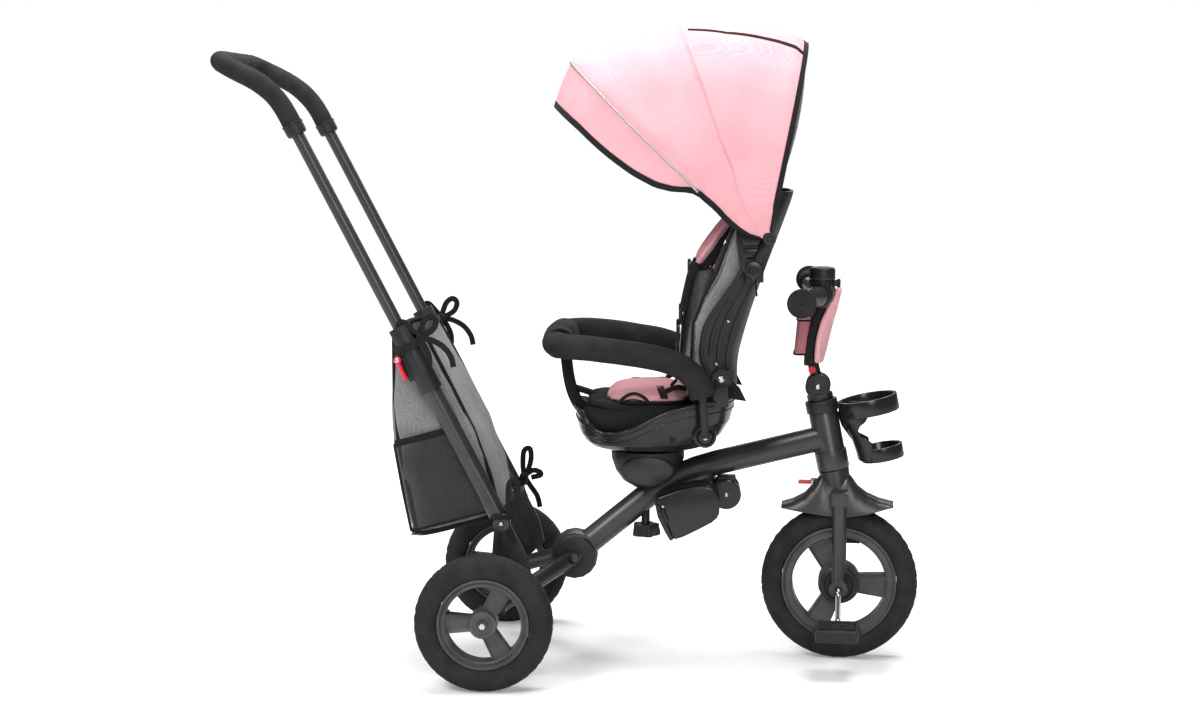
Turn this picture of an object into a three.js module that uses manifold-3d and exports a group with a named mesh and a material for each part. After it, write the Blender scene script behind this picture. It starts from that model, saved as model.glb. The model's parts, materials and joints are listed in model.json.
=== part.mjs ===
// Folding children's tricycle with a swivelling seat, a canopy and a parent's push handle.
// Millimetres. +X is the way it travels, +Y its left, +Z up. The seat faces the push handle.
// The origin is on the ground, in the middle of the tricycle's length and width.
import * as THREE from "three";
import { mergeVertices } from "three/addons/utils/BufferGeometryUtils.js";
import Module from "manifold-3d";

const wasm = await Module();
wasm.setup();

// ---- Driving dimensions. Points below are measured from the ground under the front axle. ----
const FRONT_AXLE_X = 431.4; // where the front axle stands ahead of the origin
const GAP = 0.3; // between two pieces that touch
const DEGREE = Math.PI / 180;

const FRONT_WHEEL = { radius: 127, rim: 93, window: 76, width: 46, hub: 34, spoke: 32, angles: [-3, 117, 237] };
const REAR_WHEEL = { radius: 107.6, rim: 71, window: 59, width: 46, hub: 22, spoke: 27, angles: [180, 60, -60] };
const REAR_AXLE = { x: -563, z: 107.6, wheelY: 215, radius: 6 };
const WHEEL_SIDES = 24;

const HEAD = { x: -14.5, z: 331, tilt: 11.3 * DEGREE, radius: 23.5, collar: 26, bore: 16 };
const STEER_TURN = -5.6 * DEGREE; // the handlebar rests a little to the right
const HINGE = { x: -432, z: 171, radius: 35, barrel: 38, half: 21, pin: 8 };
const TUBE = { radius: 20.5, wall: 2 };
const KNUCKLE = { x: -540, z: 250, y: 144 };
const HANDLE = { lean: 27.2 * DEGREE, outer: 14.5, inner: 9.75, top: 335, start: 262, collar: 696 };
const SEAT = { x: -313, floor: 350 };
const RECLINE = { x: -198, z: 474 };
const CANOPY = { x: -126, z: 697, halfWidth: 170, cloth: 2.5, power: 2.5 };
const BOWS = {
  rear: { angle: 78.7, reach: 298, halfWidth: 143 },
  mid: { angle: 110.1, reach: 343, halfWidth: 152 },
  front: { angle: 138.8, reach: 404, halfWidth: 161 },
};
const GUARD = { y: 139, foam: 20, steel: 8, bend: 60 };
const CUP = { ring: new THREE.Vector3(43.4, 0, 419), base: new THREE.Vector3(66, 0, 343) };
const FOOTREST = { x: -186, z: 275, disc: 24 };

// ---- Finishes ----
const finish = (color, roughness, metalness = 0) => ({ color, roughness, metalness });
const PAINT = finish(0x3b3b3d, 0.45, 0.4);
const BLACK = finish(0x1c1c1e, 0.5);
const GLOSS = finish(0x151517, 0.25);
const RUBBER = finish(0x262426, 0.85);
const RIM = finish(0x4a4a4c, 0.5, 0.1);
const FOAM = finish(0x232326, 0.95);
const RED = finish(0xd2142b, 0.4);
const CHROME = finish(0xd8d8da, 0.12, 1);
const PINK = finish(0xf3b2ba, 0.9);
const GREY_CLOTH = finish(0x6f6f72, 0.95);
const BLACK_CLOTH = finish(0x1e1e20, 0.95);

// ---- Making shapes ----
const v3 = (x, y, z) => new THREE.Vector3(x, y, z);

function toSolid(geometry) {
  const loose = geometry.index ? geometry.toNonIndexed() : geometry;
  const bare = new THREE.BufferGeometry().setAttribute("position", loose.getAttribute("position"));
  const merged = mergeVertices(bare, 1e-4);
  const vertProperties = merged.attributes.position.array;
  return new wasm.Manifold(new wasm.Mesh({ numProp: 3, vertProperties, triVerts: new Uint32Array(merged.index.array) }));
}

function toGeometry(solid) {
  const mesh = solid.getMesh();
  const geometry = new THREE.BufferGeometry();
  geometry.setAttribute("position", new THREE.BufferAttribute(new Float32Array(mesh.vertProperties), 3));
  geometry.setIndex(new THREE.BufferAttribute(new Uint32Array(mesh.triVerts), 1));
  return geometry;
}

const join = (first, ...others) => toGeometry(others.reduce((s, g) => s.add(toSolid(g)), toSolid(first)));
const cut = (first, ...tools) => toGeometry(tools.reduce((s, g) => s.subtract(toSolid(g)), toSolid(first)));

// A round bar from one point to another, tapered where the two radii differ.
function rod(from, to, radius, sides = 12, endRadius = radius) {
  const along = to.clone().sub(from);
  const bar = new THREE.CylinderGeometry(endRadius, radius, along.length(), sides, 1);
  bar.applyQuaternion(new THREE.Quaternion().setFromUnitVectors(v3(0, 1, 0), along.clone().normalize()));
  return bar.translate(...from.clone().add(to).multiplyScalar(0.5));
}

// A square bar from one point to another, its half diagonal given.
const squareBar = (from, to, corner) => tube(new Route([from, to]), corner, { sides: 4 });

// A disc or barrel across the tricycle, between two values of Y.
const disc = (x, z, radius, y0, y1, sides = 16) => rod(v3(x, y0, z), v3(x, y1, z), radius, sides);

function block(x0, x1, y0, y1, z0, z1) {
  const box = new THREE.BoxGeometry(Math.abs(x1 - x0), Math.abs(y1 - y0), Math.abs(z1 - z0));
  return box.translate((x0 + x1) / 2, (y0 + y1) / 2, (z0 + z1) / 2);
}

function polygon(radius, sides) {
  return Array.from({ length: sides }, (_, i) => {
    const a = ((i + 0.5) / sides) * 2 * Math.PI;
    return new THREE.Vector2(radius * Math.cos(a), radius * Math.sin(a));
  });
}

// A route through points, with one step of a tube between each two of them.
class Route extends THREE.Curve {
  constructor(points) {
    super();
    this.points = points;
  }
  getPointAt(share) {
    const place = share * (this.points.length - 1);
    const i = Math.min(Math.floor(place), this.points.length - 2);
    return this.points[i].clone().lerp(this.points[i + 1], place - i);
  }
  getTangentAt(share) {
    const i = Math.round(share * (this.points.length - 1));
    const way = (a, b) => b.clone().sub(a).normalize();
    const before = i > 0 ? way(this.points[i - 1], this.points[i]) : v3(0, 0, 0);
    const after = i + 1 < this.points.length ? way(this.points[i], this.points[i + 1]) : v3(0, 0, 0);
    return before.add(after).normalize();
  }
}

// A route through straight stretches, each corner rounded over the given length.
function bentRoute(corners, rounding, steps = 3) {
  const points = [corners[0]];
  for (let i = 1; i < corners.length - 1; i++) {
    const here = corners[i];
    const cutBack = (other) => here.clone().add(other.clone().sub(here).setLength(rounding));
    const bend = new THREE.QuadraticBezierCurve3(cutBack(corners[i - 1]), here, cutBack(corners[i + 1]));
    points.push(...bend.getPoints(steps));
  }
  return new Route([...points, corners.at(-1)]);
}

const smoothRoute = (points, steps) => new Route(new THREE.CatmullRomCurve3(points).getSpacedPoints(steps));

// A tube along a route: hollow where a bore is given.
function tube(route, radius, { sides = 10, bore = 0, boreSides = sides } = {}) {
  const section = new THREE.Shape(polygon(radius, sides));
  if (bore) section.holes.push(new THREE.Path(polygon(bore, boreSides).reverse()));
  const steps = route.points.length - 1;
  return new THREE.ExtrudeGeometry(section, { steps, extrudePath: route, bevelEnabled: false });
}

// An outline in the XZ plane, given as [x, z] pairs, spread across from y0 to y1.
function plate(outline, y0, y1) {
  const shape = new THREE.Shape(outline.map(([x, z]) => new THREE.Vector2(x, z)));
  const body = new THREE.ExtrudeGeometry(shape, { depth: Math.abs(y1 - y0), bevelEnabled: false });
  return body.rotateX(Math.PI / 2).translate(0, Math.max(y0, y1), 0);
}

// A closed surface from its points and its three- or four-sided faces, turned to face outwards.
function surface(points, faces) {
  const index = faces.flatMap((f) => (f.length === 3 ? f : [f[0], f[1], f[2], f[0], f[2], f[3]]));
  let volume = 0;
  for (let i = 0; i < index.length; i += 3) {
    const [a, b, c] = [points[index[i]], points[index[i + 1]], points[index[i + 2]]];
    volume += a.dot(b.clone().cross(c));
  }
  if (volume < 0) index.reverse();
  return new THREE.BufferGeometry().setFromPoints(points).setIndex(index);
}

// A solid through rings of points, closed at its first and last ring.
function loft(rings) {
  const n = rings[0].length;
  const points = rings.flat();
  const faces = [];
  for (let i = 0; i + 1 < rings.length; i++) {
    for (let j = 0; j < n; j++) {
      const k = (j + 1) % n;
      faces.push([i * n + j, i * n + k, (i + 1) * n + k, (i + 1) * n + j]);
    }
  }
  for (const [ring, start] of [[rings[0], 0], [rings.at(-1), (rings.length - 1) * n]]) {
    const middle = ring.reduce((sum, p) => sum.add(p), v3(0, 0, 0)).multiplyScalar(1 / n);
    const hub = points.push(middle) - 1;
    for (let j = 0; j < n; j++) {
      const edge = [start + j, start + ((j + 1) % n)];
      faces.push(start ? [...edge, hub] : [edge[1], edge[0], hub]);
    }
  }
  return surface(points, faces);
}

// A sheet of cloth or a moulded wall: the solid between two grids of points.
function sheet(outer, inner) {
  const [rows, columns] = [outer.length, outer[0].length];
  const points = [...outer.flat(), ...inner.flat()];
  const at = (side, i, j) => side * rows * columns + i * columns + j;
  const faces = [];
  for (let i = 0; i + 1 < rows; i++) {
    for (let j = 0; j + 1 < columns; j++) {
      faces.push([at(0, i, j), at(0, i, j + 1), at(0, i + 1, j + 1), at(0, i + 1, j)]);
      faces.push([at(1, i, j), at(1, i + 1, j), at(1, i + 1, j + 1), at(1, i, j + 1)]);
    }
    const last = columns - 1;
    faces.push([at(0, i, 0), at(0, i + 1, 0), at(1, i + 1, 0), at(1, i, 0)]);
    faces.push([at(0, i, last), at(1, i, last), at(1, i + 1, last), at(0, i + 1, last)]);
  }
  for (let j = 0; j + 1 < columns; j++) {
    const last = rows - 1;
    faces.push([at(0, 0, j), at(1, 0, j), at(1, 0, j + 1), at(0, 0, j + 1)]);
    faces.push([at(0, last, j), at(0, last, j + 1), at(1, last, j + 1), at(1, last, j)]);
  }
  return surface(points, faces);
}

const power = (value, exponent) => Math.sign(value) * Math.abs(value) ** exponent;

// A ring like a rounded rectangle, level or given a height at each x.
function roundRing(x, halfLength, halfWidth, height, sides = 18) {
  return Array.from({ length: sides }, (_, i) => {
    const a = (i / sides) * 2 * Math.PI;
    const px = x + halfLength * power(Math.cos(a), 0.7);
    return v3(px, halfWidth * power(Math.sin(a), 0.7), typeof height === "function" ? height(px) : height);
  });
}

// ---- The assembly ----
const tricycle = new THREE.Group();
tricycle.position.x = FRONT_AXLE_X;

function add(parent, name, geometry, look) {
  const mesh = new THREE.Mesh(geometry, new THREE.MeshStandardMaterial(look));
  mesh.name = name;
  parent.add(mesh);
  return mesh;
}

const SIDES = { right: -1, left: 1 };
const eachSide = (make) => Object.entries(SIDES).forEach(([side, sign]) => make(side, sign));

// A point of the steering axis at a height.
const onAxis = (z) => v3(HEAD.x - Math.tan(HEAD.tilt) * (z - HEAD.z), 0, z);
// A point along a leg of the push handle: up it, behind it and out from it.
function onHandle(up, sign, behind = 0, out = 0) {
  const [s, c] = [Math.sin(HANDLE.lean), Math.cos(HANDLE.lean)];
  return v3(KNUCKLE.x - s * up - c * behind, sign * (KNUCKLE.y + out), KNUCKLE.z + c * up - s * behind);
}

// ---- Main frame ----
const hingePinRoom = () => disc(HINGE.x, HINGE.z, HINGE.pin + 0.6, -60, 60, 10);

function mainTube(radius, sides = 14) {
  const corner = v3(-267, 0, 306.7);
  return tube(bentRoute([v3(HINGE.x, 0, HINGE.z), corner, onAxis(366.4)], 68, 4), radius, { sides });
}

function addFrame() {
  const head = rod(onAxis(335), onAxis(408), HEAD.radius, 14);
  const lowerCup = rod(onAxis(315), onAxis(345), HEAD.collar, 14);
  const barrel = disc(HINGE.x, HINGE.z, HINGE.barrel, -HINGE.half, HINGE.half, 16);
  const hollow = cut(
    join(mainTube(TUBE.radius), head, lowerCup),
    mainTube(TUBE.radius - TUBE.wall, 8),
    rod(onAxis(300), onAxis(420), HEAD.bore, 10),
  );
  add(tricycle, "main_frame", cut(join(hollow, barrel), hingePinRoom()), PAINT);
  add(tricycle, "hinge_pin", disc(HINGE.x, HINGE.z, HINGE.pin, -42, 42, 10), CHROME);
  const collar = cut(
    join(rod(onAxis(408.4), onAxis(427), HEAD.collar, 14), block(-30, -2, -9, 9, 414.5, 426)),
    rod(onAxis(400), onAxis(440), 13, 10),
    cupRing(48.5 + GAP, 40),
  );
  add(tricycle, "head_collar", collar, BLACK);
}

// A point off a middle, along the steering axis.
const alongHead = (middle, offset) =>
  middle.clone().addScaledVector(v3(-Math.sin(HEAD.tilt), 0, Math.cos(HEAD.tilt)), offset);
const cupRing = (radius, height) =>
  rod(alongHead(CUP.ring, -height / 2), alongHead(CUP.ring, height / 2), radius, 16);

function addCupHolder() {
  const arm = [v3(-1, 0, 409), v3(6, 0, 388), v3(22, 0, 366), v3(38, 0, 342)];
  const outside = join(
    cupRing(48.5, 26),
    rod(alongHead(CUP.base, -12), alongHead(CUP.base, 10), 35, 14),
    tube(new Route(arm), 7, { sides: 8 }),
  );
  const room = rod(alongHead(CUP.base, -9), alongHead(CUP.base, 30), 31, 14);
  const headRoom = rod(onAxis(330), onAxis(408.4), HEAD.radius + 0.6, 14);
  add(tricycle, "cup_holder", cut(outside, cupRing(43, 27), room, headRoom), GLOSS);
}

function addTurret() {
  const profile = [[0, 282], [22, 283], [40, 294], [53, 312], [60, 332], [61, 346], [0, 346]];
  const bowl = new THREE.LatheGeometry(profile.map(([r, z]) => new THREE.Vector2(r, z)), 14);
  bowl.rotateX(Math.PI / 2).translate(SEAT.x, 0, 0);
  add(tricycle, "seat_turret", cut(bowl, mainTube(TUBE.radius + GAP)), BLACK);
}

function addSeatLockKnob() {
  const star = new THREE.Shape(
    Array.from({ length: 30 }, (_, i) => {
      const a = (i / 30) * 2 * Math.PI;
      const radius = 20 + 2.5 * Math.cos(5 * a);
      return new THREE.Vector2(radius * Math.cos(a), radius * Math.sin(a));
    }),
  );
  const grip = new THREE.ExtrudeGeometry(star, { depth: 19.5, bevelEnabled: false }).translate(-316.5, 0, 201.5);
  const stem = rod(v3(-316.5, 0, 215), v3(-316.5, 0, 231.5), 7, 10);
  add(tricycle, "seat_lock_knob", join(grip, stem), BLACK);
}

function addFootrest() {
  const { x, z, disc: radius } = FOOTREST;
  const hanger = join(block(x - 14, x + 16, -11, 11, z, z + 27), disc(x, z, 20, -15, 15));
  const bracket = cut(hanger, mainTube(TUBE.radius + GAP), disc(x, z, 5.6, -20, 20, 10));
  add(tricycle, "footrest_bracket", bracket, BLACK);
  const wing = [
    [-299, 268], [-286, 279], [-216, 296], [-200, 289], [-195, 262], [-203, 238], [-222, 223], [-270, 207], [-283, 212],
  ];
  const [middleX, middleZ, shrink] = [-248, 249, 0.88];
  const pocket = wing.map(([px, pz]) => [middleX + shrink * (px - middleX), middleZ + shrink * (pz - middleZ)]);
  const pieces = [disc(x, z, 5, -31, 31, 10), disc(-250, 232, 8, -40, 40, 10)];
  eachSide((side, sign) => {
    const tread = cut(plate(wing, sign * 27, sign * 82), plate(pocket, sign * 20, sign * 78));
    pieces.push(disc(x, z, radius, sign * 16, sign * 31, 14), tread);
    pieces.push(disc(-250, 232, 8, sign * 20, sign * 80, 10));
  });
  add(tricycle, "footrest", join(...pieces), BLACK);
}

// ---- Steering: fork, front wheel and handlebar ----
function tyreOf({ radius, rim, width }) {
  const flat = radius / Math.cos(Math.PI / WHEEL_SIDES); // flats, not corners, touch the ground
  const half = width / 2;
  const profile = [
    [rim + GAP, -0.75 * half], [rim + 15, -half], [flat, -0.5 * half], [flat, 0.5 * half],
    [rim + 15, half], [rim + GAP, 0.75 * half], [rim + GAP, -0.75 * half],
  ];
  const tyre = new THREE.LatheGeometry(profile.map(([r, y]) => new THREE.Vector2(r, y)), WHEEL_SIDES);
  return tyre.rotateY(Math.PI / WHEEL_SIDES);
}

function rimOf({ rim, window, width, hub, spoke, angles }, bore) {
  const half = 0.36 * width;
  const ring = new THREE.LatheGeometry(
    [[window, -half], [rim, -half], [rim, half], [window, half], [window, -half]].map(
      ([r, y]) => new THREE.Vector2(r, y),
    ),
    WHEEL_SIDES,
  );
  const hubBarrel = disc(0, 0, hub, -0.46 * width, 0.46 * width, 14);
  const spokes = angles.map((angle) =>
    block(hub - 12, window + 4, -7, 7, -spoke / 2, spoke / 2).rotateY(-angle * DEGREE),
  );
  return cut(join(ring.rotateY(Math.PI / WHEEL_SIDES), hubBarrel, ...spokes), disc(0, 0, bore, -50, 50, 10));
}

const forkNeck = (grow) => rod(v3(0, 0, 266 - grow), onAxis(313.4 + grow), 20 + grow, 16, 25 + grow);

function addFork(parent) {
  const axle = FRONT_WHEEL.radius;
  const pieces = [
    rod(onAxis(290), onAxis(427.2), 12, 10),
    forkNeck(0),
    block(-13, 13, -57, 57, 263, 284),
  ];
  eachSide((side, sign) => {
    pieces.push(rod(v3(0, sign * 47, axle - 12), v3(0, sign * 47, 282), 11.5, 10));
    pieces.push(disc(0, axle, 15, sign * 37, sign * 58, 12));
  });
  add(parent, "fork", cut(join(...pieces), disc(0, axle, 5.7, -70, 70, 10)), PAINT);
}

function addFender(parent) {
  const outline = [
    [-95, 252], [-60, 246.5], [-20, 241.5], [10, 240.5], [45, 245.5], [84, 257.5], [86, 261.5],
    [62, 266], [40, 276], [24, 291], [15, 307.5], [-31, 307.5], [-43, 291], [-58, 272], [-76, 261], [-95, 256],
  ];
  const blank = plate(outline, -34, 34);
  const crown = block(-13.4, 13.4, -60, 60, 250, 284.4);
  const wheelRoom = disc(0, FRONT_WHEEL.radius, 133, -29, 29, 28);
  const housing = block(-70, -38, -9.5, 9.5, 285.5, 298);
  add(parent, "fender", cut(blank, forkNeck(0.4), crown, wheelRoom, housing), PAINT);
  const lever = join(disc(-44.5, 291.5, 5, -8.5, 8.5, 10), block(-68, -46, -8, 8, 289, 293));
  add(parent, "fork_release_lever", lever, RED);
}

function addFrontWheel(parent) {
  const axle = new THREE.Group();
  axle.position.z = FRONT_WHEEL.radius;
  parent.add(axle);
  add(axle, "front_tyre", tyreOf(FRONT_WHEEL), RUBBER);
  add(axle, "front_rim", rimOf(FRONT_WHEEL, 5.7), RIM);
  eachSide((side, sign) => {
    const cover = cut(disc(0, 0, 31.5, sign * 21.6, sign * 31, 14), disc(0, 0, 5.7, -50, 50, 10));
    add(axle, `hub_cover_${side}`, cover, BLACK);
  });
  const throwLength = 52;
  const half = (sign) => [[150, 1], [76, 1], [66, 0]].map(([y, up]) => v3(0, sign * y, sign * up * throwLength));
  add(axle, "crank", tube(bentRoute([...half(-1), ...half(1).reverse()], 5, 2), 4.5, { sides: 10 }), CHROME);
  eachSide((side, sign) => {
    const tread = new THREE.Shape();
    tread.moveTo(-34, -36);
    tread.lineTo(34, -36);
    tread.lineTo(34, -6);
    tread.absellipse(0, -6, 34, 40, 0, Math.PI, false);
    const body = new THREE.ExtrudeGeometry(tread, { depth: 20, bevelEnabled: false, curveSegments: 9 });
    body.rotateZ(sign < 0 ? 0 : Math.PI).translate(0, sign * 120, -10);
    const pedal = cut(body, disc(0, 0, 5.2, sign * 70, sign * 151.5, 10));
    add(axle, `pedal_${side}`, pedal, BLACK).position.z = sign * throwLength;
  });
}

function addHandlebar(parent) {
  const pivot = onAxis(450);
  const ears = [-1, 1].map((sign) =>
    join(disc(pivot.x, pivot.z, 20, sign * 10, sign * 17, 14), block(pivot.x - 12, pivot.x + 16, sign * 10, sign * 17, 429, 450)),
  );
  const plinth = cut(rod(onAxis(427.6), onAxis(437), 21, 14), disc(pivot.x, pivot.z, 20.4, -9.9, 9.9, 14));
  const belowPlinth = rod(onAxis(400), onAxis(427.6), 40, 8);
  const pin = disc(pivot.x, pivot.z, 4.5, -18.5, 18.5, 10);
  add(parent, "stem_base", cut(join(plinth, ...ears, pin), belowPlinth), BLACK);

  const stemRoute = smoothRoute([v3(-39, 0, 456), v3(-50, 0, 505), v3(-44, 0, 552), v3(-29, 0, 598)], 6);
  const clamp = disc(-28, 600, 17, -19, 19, 12);
  const stem = join(tube(stemRoute, 9), disc(pivot.x, pivot.z, 18.5, -9.6, 9.6, 14), clamp);
  const halfBar = (sign) => [[-60, 190, 604], [-60, 100, 604], [-28, 42, 600]].map(([x, y, z]) => v3(x, sign * y, z));
  const barRoute = bentRoute([...halfBar(-1), ...halfBar(1).reverse()], 20, 3);
  const bar = (radius) => tube(barRoute, radius, { sides: 10 });
  const barRoom = bar(11.5);
  add(parent, "handlebar_stem", cut(stem, barRoom, disc(pivot.x, pivot.z, 5.2, -20, 20, 10)), BLACK);
  add(parent, "handlebar", bar(11), PAINT);
  eachSide((side, sign) => {
    const at = (y) => v3(-60, sign * y, 604);
    const grip = join(rod(at(122), at(192), 16.5, 12), rod(at(184), at(194), 22.5, 14));
    add(parent, `grip_${side}`, cut(grip, barRoom), FOAM);
  });

  const pouchSide = [
    [-24, 484], [-70, 500], [-74, 540], [-60, 560], [-42, 580], [-8, 580], [4, 572], [-2, 545], [-12, 520],
  ];
  const pouch = cut(plate(pouchSide, -38, 38), tube(stemRoute, 10.5));
  add(parent, "handlebar_pouch", pouch, PINK);
  const bell = join(rod(v3(-33, -40, 614.5), v3(-33, -40, 646), 20.5, 14), block(-16, -6, -47, -33, 618, 630));
  add(parent, "bell", bell, BLACK);
  add(parent, "stem_lock_button", disc(-48, 478, 6, -18.4, -11.9, 10), RED);
}

function addSteering() {
  const turned = new THREE.Group();
  const pivot = onAxis(HEAD.z);
  turned.position.copy(pivot);
  turned.quaternion.setFromAxisAngle(v3(-Math.sin(HEAD.tilt), 0, Math.cos(HEAD.tilt)), STEER_TURN);
  const parts = new THREE.Group();
  parts.position.copy(pivot).negate();
  turned.add(parts);
  tricycle.add(turned);
  addFork(parts);
  addFender(parts);
  addFrontWheel(parts);
  addHandlebar(parts);
}

// ---- Rear frame, wheels and brakes ----
function addRearFrame() {
  const { x, z, wheelY, radius } = REAR_AXLE;
  const crossTube = (radius) => disc(x + 20, z + 3, radius, -155, 155, 10);
  const legs = [crossTube(10)];
  const axles = [];
  eachSide((side, sign) => {
    const corners = [v3(HINGE.x + 4, sign * 24, HINGE.z + 2), v3(x, sign * 154, z), v3(x, sign * 178, z)];
    legs.push(tube(bentRoute(corners, 12), 13.5));
    axles.push(disc(x, z, radius, sign * 170, sign * 238, 10));
    axles.push(disc(x, z, 10, sign * 236.7, sign * 241, 6));
  });
  const flange = (sign, grow) =>
    disc(HINGE.x, HINGE.z, HINGE.radius + grow, sign * (HINGE.half + GAP - grow), sign * (34 + grow), 16);
  const yoke = cut(
    join(...legs, ...axles),
    flange(-1, GAP),
    flange(1, GAP),
    block(HINGE.x - 45, HINGE.x + 60, -34.3, 34.3, HINGE.z - 50, HINGE.z + 50),
    hingePinRoom(),
  );
  add(tricycle, "rear_yoke", yoke, PAINT);
  const web = [
    [-552, 240], [-548, 259], [-532, 259], [-526, 246], [-500, 196], [-492, 160], [-512, 140], [-530, 130],
    [-556, 130], [-556, 190],
  ];
  eachSide((side, sign) => {
    add(tricycle, `hinge_flange_${side}`, cut(flange(sign, 0), hingePinRoom()), BLACK);
    const ear = disc(KNUCKLE.x, KNUCKLE.z, 13, sign * 138, sign * 150, 12);
    const pin = disc(KNUCKLE.x, KNUCKLE.z, 4, sign * 131, sign * 158, 10);
    const strut = join(plate(web, sign * 138, sign * 150), ear, pin);
    add(tricycle, `rear_strut_${side}`, cut(strut, ...legs, crossTube(10 + GAP)), BLACK);

    const brake = join(
      disc(x, z, 19, sign * 179, sign * 189, 12),
      block(x - 74, x, sign * 180, sign * 188, z - 6, z + 6),
      block(x - 84, x - 58, sign * 160, sign * 189, z - 7, z + 7),
    );
    add(tricycle, `brake_pedal_${side}`, cut(brake, disc(x, z, 6.6, -250, 250, 10)), RED);
    const wheel = new THREE.Group();
    wheel.position.set(x, sign * wheelY, z);
    tricycle.add(wheel);
    add(wheel, `rear_tyre_${side}`, tyreOf(REAR_WHEEL), RUBBER);
    add(wheel, `rear_rim_${side}`, rimOf(REAR_WHEEL, 6.6), RIM);
  });
}

// ---- Push handle and bag ----
function handleRoute(fromUp) {
  const lower = (sign) => onHandle(fromUp, sign);
  const rise = (sign) => onHandle(756, sign);
  const corner = (sign) => v3(-976, sign * KNUCKLE.y, 968);
  return bentRoute([lower(-1), rise(-1), corner(-1), corner(1), rise(1), lower(1)], 42);
}

function addHandle() {
  const { outer, inner, top, start, collar } = HANDLE;
  eachSide((side, sign) => {
    const leg = rod(onHandle(15, sign), onHandle(top, sign), outer, 12);
    const ears = [-1, 1].map((way) => {
      const strap = rod(onHandle(0, sign, 0, way * 6.5), onHandle(0, sign, 0, way * 13), 13, 12);
      return join(strap, squareBar(onHandle(-4, sign, 0, way * 10), onHandle(42, sign, 0, way * 10), 10));
    });
    const slot = block(KNUCKLE.x - 40, KNUCKLE.x + 40, sign * (KNUCKLE.y - 6.4), sign * (KNUCKLE.y + 6.4), 225, 263.8);
    const trim = [-1, 1].map((way) => {
      const edge = sign * (KNUCKLE.y + way * 13.4);
      return block(KNUCKLE.x - 60, KNUCKLE.x + 60, edge, edge + sign * way * 20, 220, 320);
    });
    const bore = rod(onHandle(10, sign), onHandle(top + 5, sign), inner + 1.4, 10);
    const pinRoom = disc(KNUCKLE.x, KNUCKLE.z, 4.7, sign * 120, sign * 170, 10);
    add(tricycle, `handle_tube_${side}`, cut(join(leg, ...ears), slot, ...trim, bore, pinRoom), PAINT);

    const sleeve = join(
      rod(onHandle(236, sign), onHandle(346, sign), 18, 12),
      squareBar(onHandle(262, sign, 14), onHandle(322, sign, 14), 13),
    );
    const outerRoom = rod(onHandle(230, sign), onHandle(top + GAP, sign), outer + GAP, 12);
    const innerRoom = rod(onHandle(330, sign), onHandle(350, sign), inner + 1.2, 12);
    add(tricycle, `handle_clamp_${side}`, cut(sleeve, outerRoom, innerRoom), BLACK);

    const lever = join(
      rod(onHandle(302, sign, 24, 11), onHandle(302, sign, 24, 18), 6, 10),
      rod(onHandle(302, sign, 24, 15), onHandle(268, sign, 26, 15), 3.4, 8),
    );
    add(tricycle, `handle_release_${side}`, lever, RED);
  });
  const collars = [-1, 1].map((sign) => rod(onHandle(collar - 14, sign), onHandle(collar, sign), 16, 10));
  const steel = join(tube(handleRoute(start), inner), ...collars);
  add(tricycle, "inner_handle", cut(steel, tube(handleRoute(start - 1), inner - 1.6, { sides: 6 })), PAINT);
  const grip = cut(tube(handleRoute(collar + 1), 15), tube(handleRoute(start), inner + 0.5));
  add(tricycle, "handle_foam", grip, FOAM);
}

function addBag() {
  const levels = [
    { rear: [-688, 219], front: [-545, 260], halfWidth: 116 },
    { rear: [-708, 290], front: [-547, 310], halfWidth: 121 },
    { rear: [-722, 370], front: [-570, 385], halfWidth: 122 },
    { rear: [-722, 440], front: [-612, 465], halfWidth: 122 },
    { rear: [-716, 542], front: [-663, 546], halfWidth: 118 },
  ];
  const ringOf = ({ rear, front, halfWidth }, wall, lift) => {
    const slope = (front[1] - rear[1]) / (front[0] - rear[0]);
    const height = (x) => rear[1] + slope * (x - rear[0]) + lift;
    return roundRing((rear[0] + front[0]) / 2, (front[0] - rear[0]) / 2 - wall, halfWidth - wall, height);
  };
  const outside = loft(levels.map((level) => ringOf(level, 0, 0)));
  const inside = loft(levels.map((level, i) => ringOf(level, 3, i === 0 ? 4 : i === levels.length - 1 ? 3 : 0)));
  add(tricycle, "storage_bag", cut(outside, inside), GREY_CLOTH);
}

// ---- Seat ----
function addSeat() {
  const ring = (z, x, halfLength, halfWidth) => roundRing(x, halfLength, halfWidth, z, 14);
  const outside = loft([
    ring(SEAT.floor, -313, 66, 62), ring(356, -313, 88, 88), ring(375, -308, 112, 118),
    ring(400, -304, 124, 130), ring(425, -302, 128, 134), ring(443, -301, 129, 135),
  ]);
  const inside = loft([
    ring(362, -311, 82, 84), ring(380, -308, 104, 110), ring(400, -304, 116, 122),
    ring(425, -302, 120, 126), ring(450, -301, 121, 127),
  ]);
  const aboveRim = plate(
    [[-460, 423], [-412, 422], [-400, 397], [-387, 386], [-360, 388], [-334, 397], [-293, 420], [-242, 436.5], [-150, 439], [-150, 500], [-460, 500]],
    -160, 160,
  );
  const ears = [-1, 1].map((sign) =>
    join(disc(RECLINE.x, RECLINE.z, 14, sign * 106, sign * 112), block(-210, -186, sign * 106, sign * 112, 412, 474)),
  );
  const pinRoom = disc(RECLINE.x, RECLINE.z, 5, -150, 150, 10);
  add(tricycle, "seat_shell", cut(join(cut(outside, inside, aboveRim), ...ears), pinRoom), GLOSS);
  const cushion = loft([
    ring(365, -318, 70, 72), ring(380, -318, 90, 96), ring(398, -320, 94, 102), ring(432, -322, 92, 100),
    ring(450, -320, 88, 94), ring(461, -318, 66, 76),
  ]);
  add(tricycle, "seat_cushion", cushion, PINK);
}

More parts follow.
